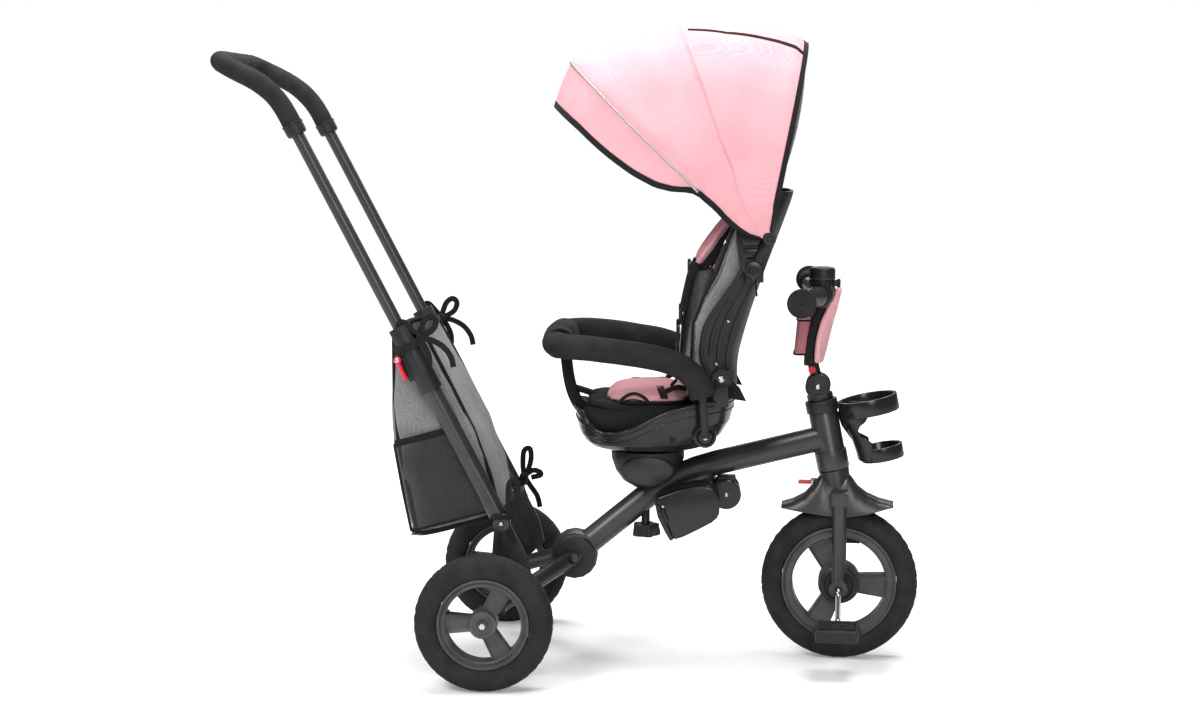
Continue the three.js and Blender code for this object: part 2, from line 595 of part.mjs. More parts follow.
// A sheet of the bucket-shaped backrest: its back and wings stand in from the outer face by an inset.
const BACK_LEVELS = [
  { z: 454, back: -172, wing: -196, half: 96 },
  { z: 500, back: -172, wing: -232, half: 110 },
  { z: 560, back: -156, wing: -226, half: 117 },
  { z: 640, back: -130, wing: -168, half: 122 },
  { z: 720, back: -100, wing: -130, half: 112 },
  { z: 770, back: -82, wing: -104, half: 86 },
];
// The pad stands a little in front of the shell's wings.
const PAD_WINGS = [-236, -246, -244, -207, -176, -150];

function backGrid(levels, inset, columns = 13) {
  return levels.map(({ z, back, wing, half }) =>
    Array.from({ length: columns }, (_, j) => {
      const a = (j / (columns - 1) - 0.5) * Math.PI;
      const depth = Math.max(back - wing - inset, 4);
      return v3(back - inset - depth * (1 - power(Math.cos(a), 0.8)), (half - inset) * power(Math.sin(a), 0.8), z);
    }),
  );
}

function addBackrest() {
  const shell = sheet(backGrid(BACK_LEVELS, 0), backGrid(BACK_LEVELS, 6));
  const lugs = [-1, 1].map((sign) => join(
    disc(RECLINE.x, RECLINE.z, 14, sign * 99, sign * 105.6),
    block(-200, -176, sign * 92, sign * 104, 466, 482),
    disc(RECLINE.x, RECLINE.z, 4.5, sign * 100, sign * 113, 10),
  ));
  add(tricycle, "back_shell", join(shell, ...lugs), BLACK);
  const padLevels = BACK_LEVELS.map((level, i) => ({ ...level, wing: PAD_WINGS[i] }));
  padLevels[0] = { ...padLevels[0], z: 474, half: 97 };
  padLevels[5].z = 762;
  const outer = backGrid(padLevels, 7.5);
  const inner = padLevels.map(({ z, back, wing, half }, i) => {
    const depth = i === 0 || i === padLevels.length - 1 ? 22 : 34;
    return backGrid([{ z, back: back - depth, wing: Math.min(wing, back - depth - 4), half: half - 30 }], 0)[0];
  });
  const shellRoom = sheet(backGrid(BACK_LEVELS, -20), backGrid(BACK_LEVELS, 7.5));
  add(tricycle, "back_cushion", cut(sheet(outer, inner), shellRoom, ...lugs), GREY_CLOTH);
}

// ---- Canopy ----
// A point of the canopy: in the plane at an angle about the pivots, a share of the way round its arch.
function onArch(angle, share, reach, halfWidth) {
  const a = share * Math.PI;
  const out = reach * power(Math.sin(a), 2 / CANOPY.power);
  const y = -halfWidth * power(Math.cos(a), 2 / CANOPY.power);
  return v3(CANOPY.x + out * Math.cos(angle * DEGREE), y, CANOPY.z + out * Math.sin(angle * DEGREE));
}

function bowTube({ angle, reach, halfWidth }) {
  const points = Array.from({ length: 15 }, (_, i) => onArch(angle, i / 14, reach, halfWidth));
  return tube(new Route(points), 4, { sides: 6 });
}

// Cloth over a row of arches, each at an angle with its reach; a hem hangs lower towards the pivots.
function clothOver(arches) {
  const [first, columns] = [0.035, 17];
  const grid = (thickness) =>
    arches.map(({ angle, reach, hem = 0 }) =>
      Array.from({ length: columns }, (_, j) => {
        const share = first + (1 - 2 * first) * (j / (columns - 1));
        const drop = hem * (1 - Math.sin(share * Math.PI));
        return onArch(angle + drop, share, reach - thickness, CANOPY.halfWidth - thickness);
      }),
    );
  return sheet(grid(0), grid(CANOPY.cloth));
}

function addCanopy() {
  const { x, z } = CANOPY;
  const hub = (y0, y1, sign, radius = 10) => disc(x, z, radius, sign * y0, sign * y1, 12);
  const brackets = [-1, 1].flatMap((sign) => [
    hub(137, 147, sign, 10),
    hub(137, 166, sign, 4),
    rod(v3(x, sign * 138, z), v3(-150, sign * 132, 640), 9, 10),
    block(-160, -134, sign * 124.5, sign * 137, 628, 664),
  ]);
  add(tricycle, "canopy_bow_rear", join(bowTube(BOWS.rear), ...brackets), BLACK);
  for (const [name, y0, y1] of [["mid", 148.4, 155.6], ["front", 157.4, 164.6]]) {
    const lugs = [-1, 1].map((sign) => hub(y0, y1, sign));
    const pinRoom = [-1, 1].map((sign) => hub(130, 170, sign, 4.6));
    add(tricycle, `canopy_bow_${name}`, cut(join(bowTube(BOWS[name]), ...lugs), ...pinRoom), BLACK);
  }
  const rearArches = [{ angle: 79.4, reach: 306 }, { angle: 95, reach: 331 }, { angle: 109.9, reach: 352 }];
  const frontArches = [
    { angle: 110.3, reach: 352 }, { angle: 124, reach: 384 }, { angle: 138.8, reach: 413 },
    { angle: 148.3, reach: 390, hem: 9 },
  ];
  add(tricycle, "canopy_rear_panel", clothOver(rearArches), PINK);
  add(tricycle, "canopy_front_panel", clothOver(frontArches), PINK);

  const rows = 7;
  const backFace = (shift) =>
    Array.from({ length: rows }, (_, i) => {
      const top = onArch(78.7, 0.5 - 0.36 * (1 - i / (rows - 1)), 289, 134);
      const reach = Math.hypot(top.x - x, top.z - z);
      return [0, 0.5, 1].map((t) => {
        const away = 84 + (reach - 84) * t;
        const c = Math.cos(78.7 * DEGREE);
        const s = Math.sin(78.7 * DEGREE);
        return v3(x + away * c + shift * s, top.y, z + away * s - shift * c);
      });
    });
  const half = (shift) => {
    const side = backFace(shift);
    const mirrored = side.slice(0, -1).reverse().map((row) => row.map((p) => v3(p.x, -p.y, p.z)));
    return [...side, ...mirrored];
  };
  add(tricycle, "canopy_back_panel", sheet(half(1.2), half(-1.2)), BLACK_CLOTH);
}

// ---- Guard bar ----
function guardRoute() {
  const { y, bend } = GUARD;
  const half = [
    [-227, y, 450], [-232, y, 468], [-247, y, 487], [-274, y, 503], [-320, y, 514], [-400, y, 524.5],
    [-400 - bend * 0.707, y - bend * 0.293, 526], [-400 - bend, y - bend, 526], [-400 - bend, 0, 526],
  ].map((p) => v3(...p));
  const other = half.slice(0, -1).reverse().map((p) => v3(p.x, -p.y, p.z));
  return new Route([...half, ...other]);
}

function addGuardBar() {
  const legs = [-1, 1].map((sign) => rod(v3(-222, sign * 126, 384), v3(-227.3, sign * 139, 453), 7, 10));
  const bosses = [-1, 1].map((sign) => disc(-222, 384, 10, sign * 119.5, sign * 130, 12));
  add(tricycle, "guard_bar", join(tube(guardRoute(), GUARD.steel, { sides: 10 }), ...legs, ...bosses), BLACK);
  const foam = tube(guardRoute(), GUARD.foam, { bore: GUARD.steel + 1 });
  add(tricycle, "guard_foam", cut(foam, ...legs), FOAM);
  const strap = plate([[-451, 504.5], [-445, 504.5], [-431, 452], [-436, 429], [-441, 429], [-438, 452]], -14, 12);
  add(tricycle, "crotch_strap", strap, BLACK_CLOTH);
}

addFrame();
addCupHolder();
addTurret();
addSeatLockKnob();
addFootrest();
addSteering();
addRearFrame();
addHandle();
addBag();
addSeat();
addBackrest();
addCanopy();
addGuardBar();

export default tricycle;
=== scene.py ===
"""A folding children's tricycle: its finishes, its sewn and moulded pieces, and the studio it stands in."""

import json
import math

import bpy
from mathutils import Matrix, Vector, noise


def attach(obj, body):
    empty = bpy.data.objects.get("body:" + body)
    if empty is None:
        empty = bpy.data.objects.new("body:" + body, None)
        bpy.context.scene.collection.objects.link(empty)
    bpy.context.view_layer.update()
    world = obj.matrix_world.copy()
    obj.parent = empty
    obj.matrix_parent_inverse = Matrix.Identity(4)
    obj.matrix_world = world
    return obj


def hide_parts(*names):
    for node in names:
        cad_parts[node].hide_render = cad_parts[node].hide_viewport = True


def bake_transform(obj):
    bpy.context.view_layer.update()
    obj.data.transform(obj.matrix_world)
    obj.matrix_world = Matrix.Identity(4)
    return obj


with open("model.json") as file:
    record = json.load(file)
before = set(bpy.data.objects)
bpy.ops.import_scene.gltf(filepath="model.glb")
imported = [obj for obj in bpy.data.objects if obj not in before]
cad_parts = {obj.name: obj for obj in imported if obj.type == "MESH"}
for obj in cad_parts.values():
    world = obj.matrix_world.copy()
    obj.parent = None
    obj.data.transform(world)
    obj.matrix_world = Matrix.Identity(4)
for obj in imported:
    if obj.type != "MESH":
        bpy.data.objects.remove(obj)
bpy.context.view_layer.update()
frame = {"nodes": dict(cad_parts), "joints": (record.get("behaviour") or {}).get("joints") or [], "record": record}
cad = frame["nodes"]

# Places on the tricycle, in metres, taken from the model's own nodes and joints.
joint = {j["name"]: j for j in frame["joints"]}
place = lambda name: Vector(joint[name]["pos_m"])
FRONT_AXLE_X = 0.4314
MM = 0.001


def at(x, y, z):
    """A point given in millimetres from the ground under the front axle."""
    return Vector((FRONT_AXLE_X + x * MM, y * MM, z * MM))


# ---------------------------------------------------------------- finishes
def new_material(name, colour, roughness, metallic=0.0, **sockets):
    material = bpy.data.materials.new(name)
    material.use_nodes = True
    shader = material.node_tree.nodes["Principled BSDF"]
    shader.inputs["Base Color"].default_value = (*colour, 1)
    shader.inputs["Roughness"].default_value = roughness
    shader.inputs["Metallic"].default_value = metallic
    for socket, value in sockets.items():
        shader.inputs[socket.replace("_", " ")].default_value = value
    return material, material.node_tree, shader


def node(tree, kind, inputs=None, **settings):
    made = tree.nodes.new(kind)
    for key, value in settings.items():
        setattr(made, key, value)
    for key, value in (inputs or {}).items():
        if isinstance(value, bpy.types.NodeSocket):
            tree.links.new(value, made.inputs[key])
        else:
            made.inputs[key].default_value = value
    return made


def object_place(tree):
    return node(tree, "ShaderNodeTexCoord").outputs["Object"]


def grain(tree, scale, detail=2.0, vector=None):
    where = vector or object_place(tree)
    return node(
        tree, "ShaderNodeTexNoise", {"Vector": where, "Scale": scale, "Detail": detail},
    ).outputs["Fac"]


def vary(tree, shader, factor, dark, light, low=0.35, high=0.65):
    """Base colour that drifts between two close shades."""
    ramp = node(tree, "ShaderNodeValToRGB", {"Fac": factor})
    ramp.color_ramp.elements[0].position, ramp.color_ramp.elements[1].position = low, high
    ramp.color_ramp.elements[0].color, ramp.color_ramp.elements[1].color = (*dark, 1), (*light, 1)
    tree.links.new(ramp.outputs["Color"], shader.inputs["Base Color"])
    return ramp.outputs["Color"]


def spread(tree, shader, factor, low, high):
    """Roughness that drifts between two values."""
    span = node(tree, "ShaderNodeMapRange", {"Value": factor, "To Min": low, "To Max": high})
    tree.links.new(span.outputs["Result"], shader.inputs["Roughness"])


def raise_surface(tree, shader, height, depth, strength=1.0):
    bump = node(tree, "ShaderNodeBump", {"Height": height, "Distance": depth, "Strength": strength})
    if shader.inputs["Normal"].is_linked:
        tree.links.new(shader.inputs["Normal"].links[0].from_socket, bump.inputs["Normal"])
    tree.links.new(bump.outputs["Normal"], shader.inputs["Normal"])


def maths(tree, operation, a, b=0.0):
    made = tree.nodes.new("ShaderNodeMath")
    made.operation = operation
    for socket, value in zip(made.inputs, (a, b)):
        if isinstance(value, bpy.types.NodeSocket):
            tree.links.new(value, socket)
        else:
            socket.default_value = value
    return made.outputs["Value"]


def scaled(colour, factor):
    return tuple(c * factor for c in colour)


def powder_coat(name, colour):
    material, tree, shader = new_material(name, colour, 0.4, 0.2, Coat_Weight=0.25, Coat_Roughness=0.3)
    vary(tree, shader, grain(tree, 28, 3), scaled(colour, 0.88), scaled(colour, 1.14))
    spread(tree, shader, grain(tree, 90, 3), 0.34, 0.46)
    raise_surface(tree, shader, grain(tree, 1500, 2), 0.00006, 0.7)
    return material


def moulding(name, colour, low, high, depth=0.00008):
    material, tree, shader = new_material(name, colour, (low + high) / 2, Specular_IOR_Level=0.38)
    vary(tree, shader, grain(tree, 35, 3), scaled(colour, 0.85), scaled(colour, 1.2))
    spread(tree, shader, grain(tree, 60, 4), low, high)
    raise_surface(tree, shader, grain(tree, 1800, 3), depth, 0.8)
    return material


def foam(name, colour, pores=900.0, depth=0.00025):
    material, tree, shader = new_material(name, colour, 0.8, Specular_IOR_Level=0.25)
    vary(tree, shader, grain(tree, 45, 4), scaled(colour, 0.8), scaled(colour, 1.3))
    cells = node(
        tree, "ShaderNodeTexVoronoi", {"Vector": object_place(tree), "Scale": pores}, feature="F1",
    ).outputs["Distance"]
    raise_surface(tree, shader, cells, depth, 0.8)
    raise_surface(tree, shader, grain(tree, 70, 2), 0.0004, 0.5)
    return material


def thread_pattern(tree, pitch, vector=None):
    """Height of an over-and-under weave that reads on any face, whichever way it looks."""
    split = node(tree, "ShaderNodeSeparateXYZ", {"Vector": vector or object_place(tree)})
    wave = [
        maths(tree, "SINE", maths(tree, "MULTIPLY", split.outputs[axis], math.pi / pitch)) for axis in "XYZ"
    ]
    pairs = [maths(tree, "MULTIPLY", wave[i], wave[(i + 1) % 3]) for i in range(3)]
    return maths(tree, "ADD", maths(tree, "ADD", pairs[0], pairs[1]), pairs[2])


def cloth(name, colour, pitch=0.0007, heather=0.0, sheen=0.35, depth=0.00015, shade=0.06):
    material, tree, shader = new_material(
        name, colour, 0.86, Sheen_Weight=sheen, Sheen_Roughness=0.45, Specular_IOR_Level=0.25,
    )
    soft = grain(tree, 14, 3)
    if heather:
        flecks = node(
            tree, "ShaderNodeMapping", {"Vector": object_place(tree), "Scale": (1, 1, 2.6)},
        ).outputs["Vector"]
        mix = maths(
            tree, "ADD", maths(tree, "MULTIPLY", grain(tree, 520, 4, flecks), 0.8),
            maths(tree, "MULTIPLY", soft, 0.2),
        )
        vary(tree, shader, mix, scaled(colour, 1 - heather), scaled(colour, 1 + heather), 0.40, 0.62)
    else:
        vary(tree, shader, soft, scaled(colour, 1 - shade), scaled(colour, 1 + shade))
    raise_surface(tree, shader, thread_pattern(tree, pitch), depth, 0.8)
    raise_surface(tree, shader, grain(tree, 55, 3), 0.0009, 0.35)
    return material


PAINT = powder_coat("satin_dark_paint", (0.026, 0.0255, 0.0265))
BLACK = moulding("grained_black_moulding", (0.009, 0.009, 0.0095), 0.38, 0.55)
GLOSS = moulding("glossy_black_moulding", (0.012, 0.0118, 0.012), 0.18, 0.30, 0.00003)
RIM = moulding("grey_rim_moulding", (0.058, 0.0575, 0.0585), 0.42, 0.55)
RED = moulding("red_lever_moulding", (0.62, 0.012, 0.03), 0.25, 0.38, 0.00003)
TYRE = foam("tyre_compound", (0.017, 0.0158, 0.0162), 1300, 0.00012)
GRIP_FOAM = foam("grip_foam", (0.0135, 0.0133, 0.0138))
PINK = cloth("pink_canvas", (0.82, 0.40, 0.445), sheen=0.1)
GREY = cloth("heather_grey_canvas", (0.205, 0.203, 0.206), heather=0.45, sheen=0.2)
WEB = cloth("black_webbing", (0.009, 0.009, 0.0095), pitch=0.0012, sheen=0.04)


def chrome():
    material, tree, shader = new_material("polished_chrome", (0.72, 0.72, 0.73), 0.1, 1.0)
    spread(tree, shader, grain(tree, 60, 4), 0.06, 0.2)
    raise_surface(tree, shader, grain(tree, 400, 2), 0.00002, 0.4)
    return material


def rivet_metal():
    material, tree, shader = new_material("rivet_metal", (0.55, 0.55, 0.56), 0.3, 1.0)
    spread(tree, shader, grain(tree, 500, 3), 0.22, 0.42)
    raise_surface(tree, shader, grain(tree, 900, 2), 0.00003, 0.5)
    return material


def reflective():
    material, tree, shader = new_material("reflective_piping", (0.38, 0.39, 0.40), 0.35, 0.5)
    raise_surface(tree, shader, thread_pattern(tree, 0.0006), 0.0001, 0.8)
    spread(tree, shader, grain(tree, 300, 3), 0.3, 0.45)
    return material


def net(name, colour, pitch, open_share):
    """Knitted mesh: round holes in a black net, seen through where the holes are."""
    material, tree, shader = new_material(name, colour, 0.7, Sheen_Weight=0.2)
    cells = node(tree, "ShaderNodeTexCoord").outputs["UV"]
    split = node(tree, "ShaderNodeSeparateXYZ", {"Vector": cells})
    waves = [maths(tree, "SINE", maths(tree, "MULTIPLY", split.outputs[a], math.pi / pitch)) for a in "XY"]
    height = maths(tree, "ABSOLUTE", maths(tree, "MULTIPLY", *waves))
    hole = maths(tree, "GREATER_THAN", height, open_share)
    tree.links.new(maths(tree, "SUBTRACT", 1.0, hole), shader.inputs["Alpha"])
    raise_surface(tree, shader, height, -0.0004, 0.8)
    vary(tree, shader, grain(tree, 30, 2), scaled(colour, 0.85), scaled(colour, 1.2))
    return material


def knitted(name, colour, gaps, pitch=0.0022):
    """A close net seen against the lining under it, as slanting light threads on dark gaps."""
    material, tree, shader = new_material(name, colour, 0.75, Sheen_Weight=0.3)
    split = node(tree, "ShaderNodeSeparateXYZ", {"Vector": object_place(tree)})
    x, z = split.outputs["X"], split.outputs["Z"]
    waves = [
        maths(
            tree, "SINE", maths(tree, "MULTIPLY", maths(tree, sign, x, z), math.pi / pitch),
        ) for sign in ("ADD", "SUBTRACT")
    ]
    height = maths(tree, "ABSOLUTE", maths(tree, "MULTIPLY", *waves))
    vary(tree, shader, height, gaps, colour, 0.15, 0.5)
    raise_surface(tree, shader, height, 0.0003, 0.8)
    return material


CHROME = chrome()
PINK_NET = knitted("pink_net", (0.62, 0.19, 0.24), (0.09, 0.025, 0.032))
# Near-black finish for the seat shell's slots: painted shade standing for the dark inside of holes that are not
# cut.
HOLE_SHADE = moulding("shadowed_hollow", (0.003, 0.003, 0.003), 0.7, 0.8)
RIM_DARK = moulding("turret_panel", (0.026, 0.026, 0.027), 0.42, 0.5)
RIVET = rivet_metal()
PIPING = reflective()
NET = net("black_net", (0.02, 0.02, 0.021), 0.0016, 0.42)


# ---------------------------------------------------------------- making pieces
def deselect():
    if bpy.context.object and bpy.context.object.mode != "OBJECT":
        bpy.ops.object.mode_set(mode="OBJECT")
    bpy.ops.object.select_all(action="DESELECT")


def select_only(piece):
    deselect()
    piece.select_set(True)
    bpy.context.view_layer.objects.active = piece


def settle(piece):
    """Put the piece's object at the origin, with its place in its mesh."""
    select_only(piece)
    bpy.ops.object.transform_apply(location=True, rotation=True, scale=True)
    return piece


def apply_all(piece):
    select_only(piece)
    for modifier in list(piece.modifiers):
        bpy.ops.object.modifier_apply(modifier=modifier.name)
    return piece


def smooth(piece, angle=35):
    select_only(piece)
    bpy.ops.object.shade_smooth_by_angle(angle=math.radians(angle))
    return piece


def outward(piece):
    select_only(piece)
    bpy.ops.object.mode_set(mode="EDIT")
    bpy.ops.mesh.select_all(action="SELECT")
    bpy.ops.mesh.remove_doubles(threshold=0.00001)
    bpy.ops.mesh.normals_make_consistent(inside=False)
    bpy.ops.object.mode_set(mode="OBJECT")
    return piece


def joined(pieces):
    first = pieces[0]
    if len(pieces) > 1:
        deselect()
        for piece in pieces:
            piece.select_set(True)
        bpy.context.view_layer.objects.active = first
        bpy.ops.object.join()
    return first


def keep(piece, name, material, body, replaces=()):
    piece.name = name
    piece.data.name = name
    if material:
        piece.data.materials.clear()
        piece.data.materials.append(material)
    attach(piece, body)
    if replaces:
        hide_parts(*replaces)
    return piece


def soften(piece, width, segments=2, angle=35):
    bevel = piece.modifiers.new("edges", "BEVEL")
    bevel.width, bevel.segments = width, segments
    bevel.limit_method, bevel.angle_limit = "ANGLE", math.radians(angle)
    bevel.harden_normals = False
    return apply_all(piece)


def refined(name, bevel=0.001, segments=2, angle=40, material=None):
    """A copy of a CAD node with its edges rounded, in the node's place."""
    source = cad[name]
    piece = source.copy()
    piece.data = source.data.copy()
    for key in list(piece.keys()):
        del piece[key]
    bpy.context.scene.collection.objects.link(piece)
    piece.parent = None
    piece.name = name + "_finished"
    select_only(piece)
    bpy.ops.object.mode_set(mode="EDIT")
    bpy.ops.mesh.select_all(action="SELECT")
    bpy.ops.mesh.remove_doubles(threshold=0.00002)
    bpy.ops.mesh.dissolve_limited(angle_limit=math.radians(1.5))
    bpy.ops.object.mode_set(mode="OBJECT")
    soften(piece, bevel, segments, angle)
    smooth(piece, angle)
    body = next(b for b, members in frame["record"]["behaviour"]["bodies"].items() if name in members)
    slot = next(s["material_slot"] for s in frame["record"]["subparts"] if s["node"] == name)
    return keep(piece, name + "_finished", material or SLOT_MATERIAL[slot], body, [name])


SLOT_MATERIAL = {
    "frame_paint": PAINT, "black_plastic": BLACK, "gloss_black": GLOSS, "tyre_foam": TYRE, "rim_plastic": RIM,
    "grip_foam": GRIP_FOAM, "red_plastic": RED, "chrome": CHROME, "pink_cloth": PINK, "grey_cloth": GREY,
    "black_cloth": WEB,
}


# ---------------------------------------------------------------- studio
def studio():
    bpy.ops.mesh.primitive_plane_add(size=40, location=(0, 0, 0))
    floor = bpy.context.object
    floor.name = "studio_floor"
    material, tree, shader = new_material("studio_paper", (0.86, 0.86, 0.86), 0.9, Specular_IOR_Level=0.0)
    vary(tree, shader, grain(tree, 3, 2), (0.85, 0.85, 0.85), (0.87, 0.87, 0.87))
    away = node(tree, "ShaderNodeVectorMath", {0: object_place(tree)}, operation="LENGTH").outputs["Value"]
    far = node(
        tree, "ShaderNodeMapRange",
        {"Value": away, "From Min": 0.7, "From Max": 3.2, "To Min": 0.20, "To Max": 1.0},
        interpolation_type="SMOOTHSTEP",
    ).outputs["Result"]
    shader.inputs["Emission Color"].default_value = (1, 1, 1, 1)
    seen = node(tree, "ShaderNodeLightPath").outputs["Is Camera Ray"]
    tree.links.new(
        maths(tree, "MULTIPLY", far, maths(tree, "ADD", maths(tree, "MULTIPLY", seen, 0.85), 0.15)),
        shader.inputs["Emission Strength"],
    )
    floor.data.materials.append(material)
    for name, place_at, size, watts, aim in (
        ("key", (-1.5, -1.9, 2.6), (1.1, 1.1), 66, (0, 0, 0.5)),
        ("overhead", (0.1, 0.2, 3.0), (3.2, 1.2), 125, (0, 0, 0.3)),
        ("front", (0.8, -3.4, 1.5), (1.2, 0.8), 36, (0, 0, 0.5)),
        ("rim", (0.6, 2.6, 1.9), (2.0, 1.0), 16, (0, 0, 0.6)),
    ):
        bpy.ops.object.light_add(type="AREA", location=place_at)
        lamp = bpy.context.object
        lamp.name = name + "_light"
        lamp.data.shape = "RECTANGLE"
        lamp.data.size, lamp.data.size_y, lamp.data.energy = *size, watts
        lamp.rotation_euler = (Vector(aim) - Vector(place_at)).to_track_quat("-Z", "Y").to_euler()
    world = bpy.data.worlds.new("studio_air")
    world.use_nodes = True
    tree = world.node_tree
    seen = node(tree, "ShaderNodeLightPath").outputs["Is Camera Ray"]
    glow = node(tree, "ShaderNodeMapRange", {"Value": seen, "To Min": 0.12, "To Max": 1.0}).outputs["Result"]
    tree.nodes["Background"].inputs["Color"].default_value = (1.0, 1.0, 1.0, 1)
    tree.links.new(glow, tree.nodes["Background"].inputs["Strength"])
    bpy.context.scene.world = world
    bpy.context.scene.view_settings.view_transform = "Standard"

    bpy.ops.object.camera_add(
        location=at(-272, -3220, 885), rotation=(math.radians(90 - 6.99), 0, math.radians(2.12)),
    )
    camera = bpy.context.object
    camera.data.lens, camera.data.sensor_width = 60.06, 36
    bpy.context.scene.camera = camera



def curve_through(points, table_x):
    """Straight-line reading of a maker's table of (x, y) pairs."""
    for (x0, y0), (x1, y1) in zip(points, points[1:]):
        if table_x <= x1:
            share = min(max((table_x - x0) / (x1 - x0), 0), 1)
            return y0 + (y1 - y0) * share
    return points[-1][1]


def grid_piece(rows, columns, rule, uv_size=(1.0, 1.0)):
    """A grid of cloth or moulding, each point placed by rule(u, v) with u and v from 0 to 1."""
    deselect()
    bpy.ops.mesh.primitive_grid_add(x_subdivisions=rows, y_subdivisions=columns, size=2)
    piece = bpy.context.object
    for vertex in piece.data.vertices:
        vertex.co = rule((vertex.co.x + 1) / 2, (vertex.co.y + 1) / 2)
    for corner in piece.data.uv_layers.active.data:
        corner.uv = (corner.uv.x * uv_size[0], corner.uv.y * uv_size[1])
    return piece


def thicken(piece, thickness, offset=0.0, edge=0.0):
    wall = piece.modifiers.new("wall", "SOLIDIFY")
    wall.thickness, wall.offset, wall.use_even_offset = thickness, offset, False
    apply_all(piece)
    if edge:
        soften(piece, edge, 2, 50)
    return piece


def subdivided(piece, levels=1):
    soft = piece.modifiers.new("soft", "SUBSURF")
    soft.levels = soft.render_levels = levels
    return apply_all(piece)


def bar(points, radius, sides=6, closed=False, radii=None):
    """A round bar, cord or piping through points."""
    deselect()
    bpy.ops.curve.primitive_bezier_curve_add()
    piece = bpy.context.object
    line = piece.data
    line.splines.clear()
    spline = line.splines.new("POLY")
    spline.points.add(len(points) - 1)
    for i, (spot, point) in enumerate(zip(spline.points, points)):
        spot.co = (*point, 1)
        spot.radius = radii[i] if radii else 1.0
    spline.use_cyclic_u = closed
    spline.use_smooth = True
    line.dimensions = "3D"
    line.bevel_depth, line.bevel_resolution, line.use_fill_caps = radius, sides, not closed
    select_only(piece)
    bpy.ops.object.convert(target="MESH")
    piece = bpy.context.object
    piece.data.materials.clear()
    return smooth(piece, 45)


def strap(points, width, thickness, across):
    """Flat webbing through points, its width lying along across at each of them."""
    count = len(points) - 1

    def rule(u, v):
        place_along = u * count
        i = min(int(place_along), count - 1)
        middle = points[i].lerp(points[i + 1], place_along - i)
        side = across(u) if callable(across) else across
        return middle + Vector(side).normalized() * width * (v - 0.5)

    piece = grid_piece(max(2 * count, 8), 5, rule, (0.3, width))
    thicken(piece, thickness, 0, thickness * 0.3)
    return smooth(outward(piece), 50)


def stand(piece, origin, axis, lead=(0, 0, 1)):
    """Turn a piece made about Z so that it stands on origin along axis, its X towards lead."""
    up = Vector(axis).normalized()
    ahead = Vector(lead) - up * Vector(lead).dot(up)
    ahead = ahead.normalized() if ahead.length > 1e-6 else up.orthogonal().normalized()
    side = up.cross(ahead)
    turn = Matrix((ahead, side, up)).transposed().to_4x4()
    piece.matrix_world = Matrix.Translation(Vector(origin)) @ turn @ piece.matrix_world
    return settle(piece)


def turned(profile, segments=64, closed=False, angle=35):
    """A shape turned about Z from its (radius, height) outline."""
    deselect()
    first_radius, first_height = profile[0]
    small = 1e-5
    bpy.ops.mesh.primitive_circle_add(
        vertices=segments, radius=max(first_radius, small), location=(0, 0, first_height),
    )
    piece = bpy.context.object
    settle(piece)
    bpy.ops.object.mode_set(mode="EDIT")
    bpy.ops.mesh.select_all(action="SELECT")
    steps = profile[1:] + ([profile[0]] if closed else [])
    radius, height = max(first_radius, small), first_height
    for next_radius, next_height in steps:
        bpy.ops.mesh.extrude_region_move(TRANSFORM_OT_translate={"value": (0, 0, next_height - height)})
        ratio = max(next_radius, small) / radius
        bpy.ops.transform.resize(value=(ratio, ratio, 1), center_override=(0, 0, next_height))
        radius, height = max(next_radius, small), next_height
    bpy.ops.mesh.select_all(action="SELECT")
    bpy.ops.mesh.remove_doubles(threshold=0.00003)
    bpy.ops.mesh.normals_make_consistent(inside=False)
    bpy.ops.object.mode_set(mode="OBJECT")
    return smooth(piece, angle)


def rivet(origin, axis, radius, height=0.0025):
    head = turned(
        [(0, height), (radius * 0.55, height * 0.9), (radius * 0.9, height * 0.45), (radius, 0), (0, 0)], 20,
    )
    return stand(head, origin, axis)


def ripple(point, size, amount):
    return noise.noise(Vector(point) / size) * amount


# ---------------------------------------------------------------- canopy
CANOPY_PIVOT = place("canopy_front_fold")
CROWN = [
    (78.5, 306), (82, 315), (91.5, 321), (101.7, 331), (108, 343), (113, 353), (120.8, 361), (127.6, 374),
    (133, 388), (136.5, 405), (138.5, 412), (141, 408), (149, 392), (180, 385),
]
LOWER_EDGE = [
    (0, 176), (0.08, 172), (0.13, 165), (0.24, 152), (0.33, 148.6), (0.36, 149.8), (0.42, 154), (0.49, 155.8),
    (0.59, 155.2), (0.72, 153.2), (0.86, 150.7), (1, 149),
]
PIPING_LINE = [(0.3, 148.2), (0.34, 147), (0.41, 144.5), (0.56, 142.4), (0.7, 141), (0.85, 139.8), (1, 139)]
MID_SEAM = [(0, 150), (0.04, 138), (0.33, 118.8), (0.55, 115.7), (0.72, 114.2), (1, 113.3)]
REAR_EDGE = [(0, 110), (0.05, 84), (0.1, 78.5), (1, 78.3)]
HOOPS = (78.5, 113.3, 138.5)


def arch_share(share):
    return math.sin(math.pi * share) ** 0.8


def canopy_point(angle, share, proud=0.0):
    """A point of the cloth: in the plane at an angle about the pivots, a share of the way over."""
    reach = curve_through(CROWN, angle) * MM + proud
    out = reach * arch_share(share)
    between = 0.0
    for a, b in zip(HOOPS, HOOPS[1:]):
        if a < angle < b:
            between = math.sin(math.pi * (angle - a) / (b - a))
    lean = math.cos(math.pi * share)
    half = 0.170 - 0.0045 * between * (1 - abs(lean) ** 6) + proud
    across = -half * math.copysign(abs(lean) ** 0.8, lean)
    turn = math.radians(angle)
    return CANOPY_PIVOT + Vector((out * math.cos(turn), across, out * math.sin(turn)))


def edge_of(table, share):
    return curve_through(table, arch_share(share))


def over(v, end=0.004):
    return end + (1 - 2 * end) * v


